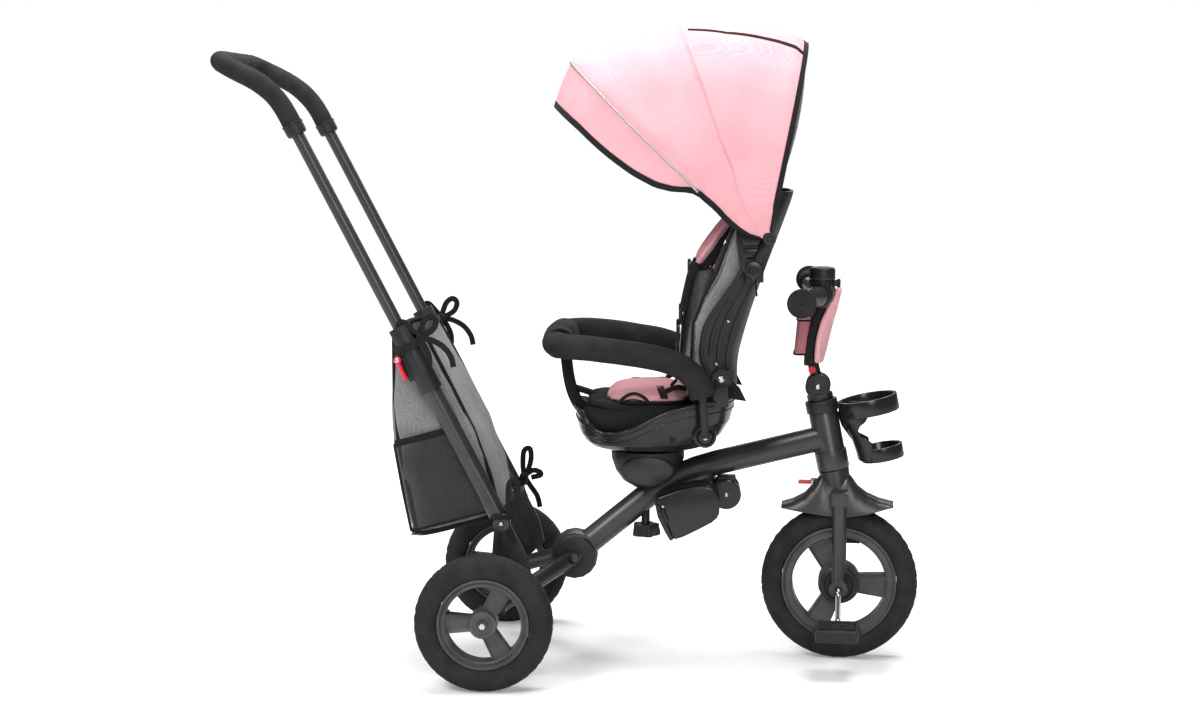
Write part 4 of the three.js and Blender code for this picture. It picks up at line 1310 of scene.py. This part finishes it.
def harness():
    """Two shoulder straps with pads and sliders, from under the head pad down to the seat."""
    straps, sliders, pads = [], [], []
    for side in (-1, 1):
        line = [
            (-222, 652), (-234, 646), (-240, 630), (-246, 606), (-251, 580), (-256, 556), (-259, 530),
            (-261, 500),
            (-264, 472), (-276, 457),
        ]
        points = smooth_line([at(x, side * (40 + 0.16 * (652 - z) * 0.6), z) for x, z in line], 5)
        straps.append(strap(points, 0.024, 0.0034, (0, 1, 0)))
        thick = smooth_line(
            [
                at(x, side * (41 + 0.1 * (652 - z)), z) for x,
                z in ((-232, 652), (-241, 632), (-248, 604), (-254, 575))
            ],
            6,
        )
        pads.append(strap([p + Vector((-0.003, 0, 0)) for p in thick], 0.036, 0.0095, (0, 1, 0)))
        for x, z in ((-243, 640), (-257, 566), (-261, 540), (-262, 512)):
            y = side * (41 + 0.1 * (652 - z))
            frame_bits = [
                bar([at(x - 4, y + dy, z - 9), at(x - 4, y + dy, z + 9)], 0.0030, 4) for dy in (-14, 14)
            ] + [bar([at(x - 4, y - 14, z + dz), at(x - 4, y + 14, z + dz)], 0.0026, 4) for dz in (-9, 0, 9)]
            sliders.append(joined(frame_bits))
    band = joined(straps + pads)
    band.name = band.data.name = "harness_straps"
    band.data.materials.clear()
    band.data.materials.append(WEB)
    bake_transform(band)
    keep(joined(sliders), "harness_sliders", BLACK, "backrest")


def soft_plate(outline, y0, y1, bevel=0.0015):
    """A flat shape given by (x, z) corners in millimetres, with rounded edges, between two widths."""
    deselect()
    bpy.ops.mesh.primitive_circle_add(vertices=len(outline), radius=1, fill_type="NGON")
    piece = bpy.context.object
    for vertex, (x, z) in zip(piece.data.vertices, outline):
        vertex.co = at(x, y0, z)
    bpy.ops.object.mode_set(mode="EDIT")
    bpy.ops.mesh.select_all(action="SELECT")
    bpy.ops.mesh.extrude_region_move(TRANSFORM_OT_translate={"value": (0, (y1 - y0) * MM, 0)})
    bpy.ops.mesh.select_all(action="SELECT")
    bpy.ops.mesh.normals_make_consistent(inside=False)
    bpy.ops.object.mode_set(mode="OBJECT")
    soften(piece, bevel, 3, 25)
    return smooth(piece, 40)


def seat_straps():
    """The crotch strap from the guard bar to the seat, with its branch and buckle."""
    line = smooth_line(
        [
            at(*p)
            for p in (
                (-447, 0, 506), (-445, 0, 488), (-442, 0, 465), (-437, 0, 443), (-429, 0, 424),
                (-418, 0, 411), (-400, 0, 408),
            )
        ],
        6,
    )
    main = strap(line, 0.036, 0.0165, (0, 1, 0))
    soften(main, 0.004, 3, 50)
    second = strap(
        smooth_line(
            [
                at(*p)
                for p in ((-436, 0, 446), (-418, 0, 441), (-400, 0, 435), (-384, 0, 430), (-366, 0, 434))
            ],
            6,
        ),
        0.026, 0.0075, (0, 1, 0),
    )
    main.name = "crotch_strap_webbing"
    main.data.materials.append(WEB)
    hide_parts("crotch_strap")
    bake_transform(main)
    keep(second, "crotch_strap_branch", WEB, "seat")
    cross = [
        strap(
            smooth_line(
                [
                    at(-296, sign * 14, 454), at(-293, sign * 60, 453), at(-289, sign * 88, 450),
                    at(-286, sign * 97, 441),
                ],
                6,
            ),
            0.012, 0.0026, (1, 0, 0),
        )
        for sign in (-1, 1)
    ]
    small = [
        bar(
            smooth_line(
                [
                    at(-283, sign * 84, 451), at(-273, sign * 88, 456), at(-262, sign * 88, 458),
                    at(-252, sign * 86, 455),
                ],
                6,
            ),
            0.0042, 5,
        )
        for sign in (-1, 1)
    ]
    keep(joined(cross + small), "lap_straps", WEB, "seat")
    buckle = joined(
        [block((-306, -14, 446), (-290, 14, 453), 0.003), block((-320, -8, 447), (-304, 8, 452), 0.002)]
    )
    keep(buckle, "harness_buckle", BLACK, "seat")
    tail_piece = joined([
        soft_plate(
            [(-180, 470), (-168, 459), (-160, 443), (-157, 437), (-176, 440), (-190, 444)], sign * 92,
            sign * 97,
        )
        for sign in (-1, 1)
    ])
    keep(tail_piece, "recline_webbing", WEB, "backrest")


# ---------------------------------------------------------------- handlebar
def handlebar():
    half = [(-60, 190, 604), (-60, 100, 604), (-28, 42, 600)]
    corners = [at(x, -y, z) for x, y, z in half] + [at(x, y, z) for x, y, z in reversed(half)]
    line = even(round_corners(corners, 0.03), 0.004)
    radii = []
    for point in line:
        y = abs(point.y) / MM
        radii.append(0.011 if y > 92 else 0.0165 if y < 66 else 0.0165 - 0.0055 * (y - 66) / 26)
    tube = bar(line, 1.0, 8, radii=radii)
    keep(steered(tube), "handlebar_tube", PAINT, "handlebar", ["handlebar"])
    collars = []
    for sign in (-1, 1):
        ring = turned(
            [(0.0120, 0), (0.0182, 0.001), (0.0188, 0.003), (0.0188, 0.009), (0.0178, 0.011), (0.012, 0.012)],
            40, closed=True,
        )
        way = (at(-28, sign * 42, 600) - at(-60, sign * 100, 604)).normalized()
        collars.append(stand(ring, at(-36.5, sign * 57, 601), way))
        grip = turned([
            (0.0112, 0), (0.0150, 0.0006), (0.0165, 0.003), (0.0165, 0.060), (0.0172, 0.0622),
            (0.0212, 0.0634), (0.0225, 0.0655),
            (0.0225, 0.0690), (0.0212, 0.0712), (0.0180, 0.0716), (0.0030, 0.0716), (0.0026, 0.0702),
            (0, 0.0702),
        ], 72)
        for vertex in grip.data.vertices:
            if 0.004 < vertex.co.z < 0.058:
                pass
        grip = steered(stand(grip, at(-60, sign * 122, 604), (0, sign, 0)))
        keep(
            grip, f"grip_sleeve_{'right' if sign < 0 else 'left'}", GRIP_FOAM, "handlebar",
            [f"grip_{'right' if sign < 0 else 'left'}"],
        )
    keep(steered(joined(collars)), "handlebar_collars", BLACK, "handlebar")

    dome = turned([
        (0, 0), (0.0150, 0), (0.0182, 0.0012), (0.0188, 0.0030), (0.0188, 0.0124), (0.0196, 0.0130),
        (0.0205, 0.0142),
        (0.0205, 0.0265), (0.0198, 0.0292), (0.0178, 0.0310), (0.0140, 0.0318), (0, 0.0322),
    ], 64)
    lugs = []
    for i in range(16):
        angle = 2 * math.pi * i / 16
        lug = block((-431.4 - 1.6, -1.9, 0), (-431.4 + 1.6, 1.9, 10), 0.0006)
        outward_step = Matrix.Translation((0.0190, 0, 0.0016))
        lug.matrix_world = Matrix.Rotation(angle, 4, "Z") @ outward_step @ lug.matrix_world
        lugs.append(settle(lug))
    dome = joined([dome] + lugs)
    dome.matrix_world = Matrix.Translation(at(-33, -40, 614.5)) @ dome.matrix_world
    settle(dome)
    lever = joined(
        [block((-17, -47, 616), (-8, -33, 626), 0.0025), block((-10, -45, 613.5), (-4, -35, 628), 0.003)]
    )
    keep(steered(joined([dome, lever])), "bell_dome", BLACK, "bell", ["bell"])
    rim_line = bar(
        [
            at(-33 + 20.7 * math.cos(a), -40 + 20.7 * math.sin(a), 628.6)
            for a in (2 * math.pi * i / 60 for i in range(60))
        ],
        0.0006, 3, closed=True,
    )
    keep(steered(rim_line), "bell_rim_line", RIM, "bell")

    front = [(480, -36), (492, -34), (516, -31), (552, -22.7), (588, -12.7), (606, -6), (614, -7)]
    rear = [
        (480, -46), (492, -47.5), (516, -46.5), (534, -43.7), (552, -39), (564, -35.4), (588, -24),
        (606, -14), (614, -9),
    ]

    def pouch_ring(z):
        x0, x1 = curve_through(rear, z), curve_through(front, z)
        half_width = curve_through([(488, 30), (500, 36), (560, 39), (600, 36), (612, 28)], z)

        def ring(v):
            c, s = math.cos(2 * math.pi * v), math.sin(2 * math.pi * v)
            side = math.copysign(abs(s) ** 0.55, s) * half_width
            px = (x0 + x1) / 2 + (x1 - x0) / 2 * math.copysign(abs(c) ** 0.7, c)
            return at(px + 7 * (1 - (side / 39) ** 2) * 0.6, side, z)

        return ring

    pouch = tube_between([pouch_ring(z) for z in (489, 493, 505, 520, 540, 560, 580, 598, 607, 611)], 60)
    stuffed(pouch, 0.004, 1.6, 0.003)
    keep(steered(pouch), "pouch_front", PINK, "handlebar", ["handlebar_pouch"])

    def gusset_ring(z):
        middle = curve_through(
            [(478, -56), (492, -54.5), (505, -53.5), (530, -51), (555, -45), (575, -37), (600, -26)], z,
        )
        half_length = curve_through([(478, 6), (505, 7.5), (560, 8), (600, 7)], z)
        return oval(
            middle, half_length, curve_through([(478, 12), (492, 30), (505, 37), (600, 36)], z), z, 0.6,
        )

    gusset = tube_between([gusset_ring(z) for z in (484, 490, 500, 515, 530, 545, 560, 575, 590, 598)], 48)
    subdivided(gusset, 1)
    smooth(gusset, 60)
    keep(steered(gusset), "pouch_gusset", WEB, "handlebar")

    def pocket_ring(z):
        middle = curve_through([(505, -66), (559, -61)], z)
        return oval(middle, 11.5, curve_through([(505, 33), (512, 35), (559, 35)], z), z, 0.45)

    pocket = tube_between([pocket_ring(z) for z in (505, 508, 520, 540, 556, 559)], 48)
    subdivided(pocket, 1)
    smooth(pocket, 60)
    keep(steered(pocket), "pouch_net", PINK_NET, "handlebar")
    rim_pipe = bar([pocket_ring(559.5)(i / 60) for i in range(60)], 0.0016, 4, closed=True)
    base_pipe = bar([pocket_ring(504.5)(i / 60) for i in range(60)], 0.0016, 4, closed=True)
    keep(steered(joined([rim_pipe, base_pipe])), "pouch_net_binding", WEB, "handlebar")

    pivot_x, pivot_z = -14.5 - math.tan(math.radians(11.3)) * (450 - 331), 450
    bolts = [rivet(at(pivot_x, sign * 18.4, pivot_z), (0, sign, 0), 0.0046, 0.003) for sign in (-1, 1)]
    keep(steered(joined(bolts)), "stem_hinge_rivets", RIVET, "steering")
    rings = []
    for sign in (-1, 1):
        ring = turned(
            [
                (0.0165, 0), (0.0185, 0.0012), (0.0192, 0.0012), (0.0202, 0), (0.0202, -0.003),
                (0.0165, -0.003),
            ],
            48, closed=True,
        )
        rings.append(stand(ring, at(pivot_x, sign * 17.0, pivot_z), (0, sign, 0)))
    keep(steered(joined(rings)), "stem_hinge_rims", BLACK, "steering")


# ---------------------------------------------------------------- pedals and crank
def pedals():
    for side, sign in (("right", -1), ("left", 1)):
        z = 127 + sign * 52
        tread = [
            block((-30, sign * 86, z - 9), (30, sign * 93, z + 9), 0.002),
            block((-33, sign * 146, z - 10), (33, sign * 156, z + 10), 0.0025),
            block((-33.5, sign * 88, z - 10), (-27, sign * 154, z + 10), 0.0025),
            block((27, sign * 88, z - 10), (33.5, sign * 154, z + 10), 0.0025),
            block((-8, sign * 88, z - 7.5), (8, sign * 154, z + 7.5), 0.003),
        ]
        arch = [
            at(33.5 * math.cos(math.pi * i / 20), sign * (118 - 36 * math.sin(math.pi * i / 20) + 8), z)
            for i in range(21)
        ]
        rim_bar = bar(arch, 0.0055, 5)
        for vertex in rim_bar.data.vertices:
            vertex.co.z = z * MM + (vertex.co.z - z * MM) * 1.75
        tread.append(rim_bar)
        for i in range(6):
            y = sign * (98 + 8.5 * i)
            for level in (z - 9.2, z + 9.2):
                tread.append(block((-27, y - 1.4, level - 1.6), (27, y + 1.4, level + 1.6), 0.0006))
        tread.append(block((-27, sign * 90, z - 7), (27, sign * 152, z + 7), 0.001))
        keep(
            steered(joined(tread)), f"pedal_tread_{side}", BLACK, f"pedal_{side}",
            [f"pedal_{side}"],
        )
        cover = turned([
            (0.0056, 0), (0.0310, 0), (0.0315, 0.001), (0.0312, 0.0045), (0.0285, 0.0068), (0.0240, 0.0078),
            (0.0225, 0.0064),
            (0.0150, 0.0064), (0.0140, 0.0098), (0.0120, 0.0112), (0.0056, 0.0112),
        ], 64, closed=True)
        cover = stand(cover, at(0, sign * 21.6, 127), (0, sign, 0))
        keep(steered(cover), f"hub_cap_{side}", BLACK, "front_wheel", [f"hub_cover_{side}"])
    corners = []
    for sign in (-1, 1):
        half = [at(0, sign * 150, 127 + sign * 52), at(0, sign * 76, 127 + sign * 52), at(0, sign * 66, 127)]
        corners += half if sign < 0 else half[::-1]
    shaft = bar(even(round_corners(corners, 0.007), 0.004), 0.0045, 8)
    keep(steered(shaft), "crank_shaft", CHROME, "crank", ["crank"])


# ---------------------------------------------------------------- fork and fender
def fender():
    def cover(u, v):
        """The mudguard's skin: u from front to back, v from side to side."""
        x = -95 + 181 * u
        side = 2 * v - 1
        top = curve_through(
            [
                (-95, 256), (-76, 262), (-58, 272), (-43, 289), (-33, 303), (-28, 307.5), (12, 307.5),
                (20, 298), (28, 286), (42, 275), (62, 266), (86, 260),
            ],
            x,
        )
        low = curve_through([(-95, 252), (-60, 246.5), (-20, 241.5), (10, 240.5), (45, 245.5), (86, 258)], x)
        neck = math.exp(-((x + 9) / 30) ** 2)
        bend = abs(side)
        half_width = 34 - 12 * (abs(x + 5) / 91) ** 3
        z = low + (top - low) * (1 - bend ** (2.2 + 2.5 * (1 - neck)))
        return at(x, side * half_width, z)

    skin = grid_piece(90, 48, cover)
    outward(skin)
    wall = skin.modifiers.new("wall", "SOLIDIFY")
    wall.thickness, wall.offset = 0.003, -1
    apply_all(skin)
    soften(skin, 0.0008, 2, 50)
    smooth(skin, 45)
    keep(steered(skin), "fender_skin", PAINT, "steering", ["fender"])
    ears = [bar([at(-44.5, sign * 8.7, 291.5), at(-30, sign * 8.7, 291.5)], 0.0042, 4) for sign in (-1, 1)]
    keep(steered(joined(ears)), "fork_lever_ears", BLACK, "steering")
    keep(
        steered(rivet(at(-44.5, -10, 291.5), (0, -1, 0), 0.0046, 0.0025)), "fork_lever_rivet", RIVET,
        "fork_lever",
    )


# ---------------------------------------------------------------- bag trims
def bag_trims():
    edges = [
        bar([bag_point(1.0, i / 120, -0.6) for i in range(120)], 0.0046, 6, closed=True),
        bar([bag_point(0.0, i / 120, -0.6) for i in range(120)], 0.0040, 6, closed=True),
    ]
    for around in (0.125, 0.375, 0.625, 0.875):
        edges.append(bar([bag_point(i / 40, around, -1.2) for i in range(41)], 0.0036, 6))
    keep(joined(edges), "bag_binding", WEB, "push_handle")

    def side_net(u, v):
        """The mesh pocket on the right side, below a sloping black band."""
        low = 232 + 36 * v
        high = 371 + 25 * v
        level_z = low + (high - low) * u
        y = -(126.5 + 5 * math.sin(math.pi * u) ** 0.6 * math.sin(math.pi * min(max(v, 0.02), 0.98)) ** 0.5)
        front = -538 - 0.514 * (level_z - 250)
        rear = curve_through([(219, -688), (300, -704), (370, -716)], level_z)
        return at(rear + 6 + (front - rear - 12) * v, y, level_z)

    pocket = grid_piece(50, 60, side_net, (0.16, 0.16))
    thicken(pocket, 0.0007, 0)
    smooth(pocket, 60)
    keep(pocket, "bag_net_pocket", NET, "push_handle")
    hem = strap([side_net(1, i / 30) + Vector((0, -0.0012, 0)) for i in range(31)], 0.011, 0.0022, (0, 0, 1))
    foot = [
        side_net(i / 20, 0) for i in range(21)
    ], [side_net(i / 20, 1) for i in range(21)], [side_net(0, i / 20) for i in range(21)]
    keep(
        joined([hem] + [bar(line, 0.0022, 4) for line in foot]), "bag_pocket_hem", WEB, "push_handle",
    )


def ribbon(points, width=0.009, thickness=0.0014, facing=(0, -1, 0)):
    """Narrow tape through points, its flat side turned towards facing."""
    last = len(points) - 1

    def across(u):
        i = min(int(u * last), last - 1)
        return (points[i + 1] - points[i]).cross(Vector(facing)) + Vector((1e-6, 0, 1e-6))

    return strap(points, width, thickness, across)


def ties():
    """Tapes knotted round the handle tubes, each with a standing loop and hanging tails."""
    tapes = []
    for sign in (-1, 1):
        face = (0, sign, 0)
        for up, loops in (
            (318, (((0, 0), (4, 14), (10, 27), (20, 33), (27, 26), (22, 12), (6, 2)),
                   ((0, 0), (20, -4), (38, -14), (50, -30), (54, -46)),
                   ((0, 0), (9, -12), (16, -28), (17, -44)),
                   ((0, 0), (-10, 12), (-22, 24), (-30, 20), (-24, 8), (-4, 0)))),
            (12, (((0, 0), (-2, 20), (0, 44), (10, 48), (12, 30), (6, 8)),
                  ((0, 0), (14, 10), (26, 8), (28, 2), (12, -2)),
                  ((0, 0), (10, -16), (22, -34), (27, -54)), ((0, 0), (-4, -18), (2, -36), (6, -50)))),
        ):
            knot = on_handle(up, sign, -21, 5)
            for n, path in enumerate(loops):
                lift = Vector((0, sign * (0.002 + 0.0015 * n), 0))
                tapes.append(
                    ribbon(
                        smooth_line([knot + lift + Vector((x * MM, 0, z * MM)) for x, z in path], 5),
                        facing=face,
                    )
                )
            ball = turned([(0, -0.007), (0.006, -0.005), (0.008, 0), (0.006, 0.005), (0, 0.007)], 16)
            tapes.append(stand(ball, knot, (0, 1, 0)))
        wrap = [
            on_handle(
                308 + 11 * i / 47, sign, 20 * math.cos(math.pi * i / 12), 20 * math.sin(math.pi * i / 12),
            )
            for i in range(48)
        ]
        tapes.append(strap(wrap, 0.008, 0.0014, (0.45, 0, -0.9)))
        ring = [
            at(-540 + 19 * math.cos(a), sign * 144 + 19 * math.sin(a), 262)
            for a in (2 * math.pi * i / 32 for i in range(33))
        ]
        tapes.append(strap(ring, 0.008, 0.0014, (0, 0, 1)))
        hook, eye = bag_point(0.99, 0.125 if sign > 0 else 0.875), on_handle(312, sign, -14, 0)
        tapes.append(strap([hook.lerp(eye, i / 8) for i in range(9)], 0.010, 0.0018, (0, 0, 1)))
    keep(joined(tapes), "bag_ties", WEB, "push_handle")


# ---------------------------------------------------------------- small hard details
def cup_web():
    """The curved plate that joins the two rings of the cup holder to its clamp."""
    rear = [(329, 30), (346, 25), (362, 19), (374, 13), (387, 6), (396, -1), (421, -5)]
    front = [
        (329, 44), (346, 50), (362, 47), (370, 30), (379, 25), (388, 28), (394, 36), (410, 44), (421, 44),
    ]

    def rule(u, v):
        z = 329 + 92 * u
        x = curve_through(rear, z)
        reach = math.acos(max(-0.6, 1 - (curve_through(front, z) - x) / 28))
        turn = reach * (2 * v - 1)
        return at(x + 28 * (1 - math.cos(turn)), 28 * math.sin(turn), z)

    web = grid_piece(46, 24, rule, (0.10, 0.08))
    thicken(web, 0.0034, 0)
    soften(web, 0.0006, 2, 60)
    smooth(web, 45)
    keep(web, "cup_holder_web", GLOSS, "frame")


def footrest():
    """Two hollow foot wings on a cross tube, hung from a pair of round bosses."""
    wing = [
        (-299, 273), (-297, 279), (-288, 283), (-262, 292), (-236, 299), (-217, 299.5), (-207, 295),
        (-200, 286),
        (-197, 274), (-198, 254), (-202, 246), (-210, 239), (-232, 227), (-254, 216), (-268, 211),
        (-276, 215),
        (-283, 228), (-292, 246), (-298, 262),
    ]
    parts, dots = [bar([at(-250, y, 244) for y in (-76, -26, 26, 76)], 0.0085, 12)], []
    for sign in (-1, 1):
        parts.append(soft_plate(wing, sign * 27, sign * 82, 0.004))
        ridge = [
            (-301, 270), (-292, 268), (-284, 246), (-275, 226), (-270, 213), (-276, 209), (-285, 225),
            (-296, 248),
        ]
        parts.append(soft_plate(ridge, sign * 40, sign * 86, 0.003))
        parts.append(
            soft_plate([(-291, 262), (-286, 262), (-279, 240), (-284, 240)], sign * 84, sign * 88, 0.0012)
        )
        boss = turned(
            [(0, 0), (0.0235, 0), (0.0240, 0.001), (0.0240, 0.013), (0.0225, 0.0148), (0, 0.0150)], 56,
        )
        parts.append(stand(boss, at(-186, sign * 16, 275), (0, sign, 0)))
        dots.append(rivet(at(-186, sign * 31, 275), (0, sign, 0), 0.0036, 0.0018))
        dots.append(rivet(at(-288, sign * 87, 266), (0, sign, 0), 0.0024, 0.0014))
    keep(joined(parts), "footrest_wings", GLOSS, "footrest", ["footrest"])
    keep(joined(dots), "footrest_rivets", RIVET, "footrest")
    stem = bar([at(-316.5, 0, z) for z in (222, 240, 256)], 0.0068, 16)
    lobes = [rivet(at(-316.5 + 19 * math.cos(a), 19 * math.sin(a), 203), (0, 0, 1), 0.0055, 0.0155) for a in
             (2 * math.pi * i / 5 for i in range(5))]
    keep(joined([stem] + lobes), "seat_lock_stem", BLACK, "seat_lock")


def details():
    panel = []
    for sign in (-1, 1):
        oval_panel = turned([(0, 0.003), (0.90, 0.0024), (1.0, 0.0), (1.0, -0.01), (0, -0.01)], 64)
        oval_panel.scale = (0.041, 0.024, 1)
        settle(oval_panel)
        panel.append(stand(oval_panel, at(-313, sign * 57, 318), (0, sign, -0.12), (1, 0, 0)))
    keep(joined(panel), "turret_panels", RIM_DARK, "frame")

    bolts = [rivet(at(-432, sign * 34.2, 171), (0, sign, 0), 0.0065, 0.0025) for sign in (-1, 1)]
    keep(joined(bolts), "frame_hinge_bolts", BLACK, "rear_frame")
    pins = []
    for sign in (-1, 1):
        pins.append(rivet(at(-540, sign * 158.2, 250), (0, sign, 0), 0.0036, 0.0018))
        pins.append(rivet(on_handle(302, sign, 24, 18.2), (0, sign, 0), 0.004, 0.002))
    keep(joined(pins[::2]), "knuckle_rivets", RIVET, "rear_frame")
    keep(joined(pins[1::2]), "clamp_rivets", RIVET, "push_handle")
    knob = []
    tail_line = []
    for sign in (-1, 1):
        shape = turned([
            (0, 0), (0.0135, 0), (0.0142, 0.0015), (0.0142, 0.009), (0.0128, 0.0112), (0.0070, 0.0118),
            (0.0060, 0.0100), (0, 0.0100),
        ], 48)
        knob.append(stand(shape, at(-150, sign * 136, 648), (0, sign, 0)))
        plate_line = [
            (-176, 712), (-120, 712), (-116, 690), (-128, 660), (-136, 632), (-160, 630), (-170, 655),
            (-176, 690),
        ]
        knob.append(soft_plate(plate_line, sign * 112, sign * 127, 0.004))
        knob.append(
            soft_plate(
                [(-170, 704), (-128, 704), (-124, 690), (-134, 684), (-166, 684)], sign * 126, sign * 131,
                0.002,
            )
        )
        knob.append(
            soft_plate([(-168, 680), (-134, 680), (-138, 664), (-164, 664)], sign * 126, sign * 130, 0.002)
        )
        tail_line.append(
            strap(
                [
                    at(-147, sign * 133, 640), at(-146, sign * 135, 628), at(-145, sign * 134, 615),
                    at(-144, sign * 132, 606),
                ],
                0.006, 0.003, (0, 1, 0),
            )
        )
    keep(joined(knob), "canopy_clamp_knobs", GLOSS, "backrest")
    keep(joined(tail_line), "canopy_strap_tails", WEB, "backrest")


studio()
canopy_cloth()
canopy_trim()
wheels()
guard()
push_handle()
bag()
bag_trims()
ties()
seat_bucket()
seat_pads()
backrest()
head_backing()
harness()
seat_straps()
cup_web()
footrest()
handlebar()
pedals()
fender()
details()
for name in cad:
    slot_name = next(s["material_slot"] for s in frame["record"]["subparts"] if s["node"] == name)
    cad[name].data.materials.clear()
    cad[name].data.materials.append(SLOT_MATERIAL[slot_name])

for name, bevel in (
    ("main_frame", 0.0015), ("head_collar", 0.001), ("cup_holder", 0.001), ("seat_turret", 0.002),
    ("footrest_bracket", 0.001), ("fork", 0.001), ("stem_base", 0.001), ("handlebar_stem", 0.001),
    ("rear_yoke", 0.0012), ("rear_strut_right", 0.002), ("rear_strut_left", 0.002),
    ("handle_tube_right", 0.001), ("handle_tube_left", 0.001), ("handle_clamp_right", 0.0015),
    ("handle_clamp_left", 0.0015), ("handle_release_right", 0.001), ("handle_release_left", 0.001),
    ("brake_pedal_right", 0.0015), ("brake_pedal_left", 0.0015),
    ("hinge_flange_right", 0.0015), ("hinge_flange_left", 0.0015),
    ("seat_lock_knob", 0.0015), ("fork_release_lever", 0.0008),
):
    refined(name, bevel)
refined("hinge_pin", 0.001, material=PAINT)
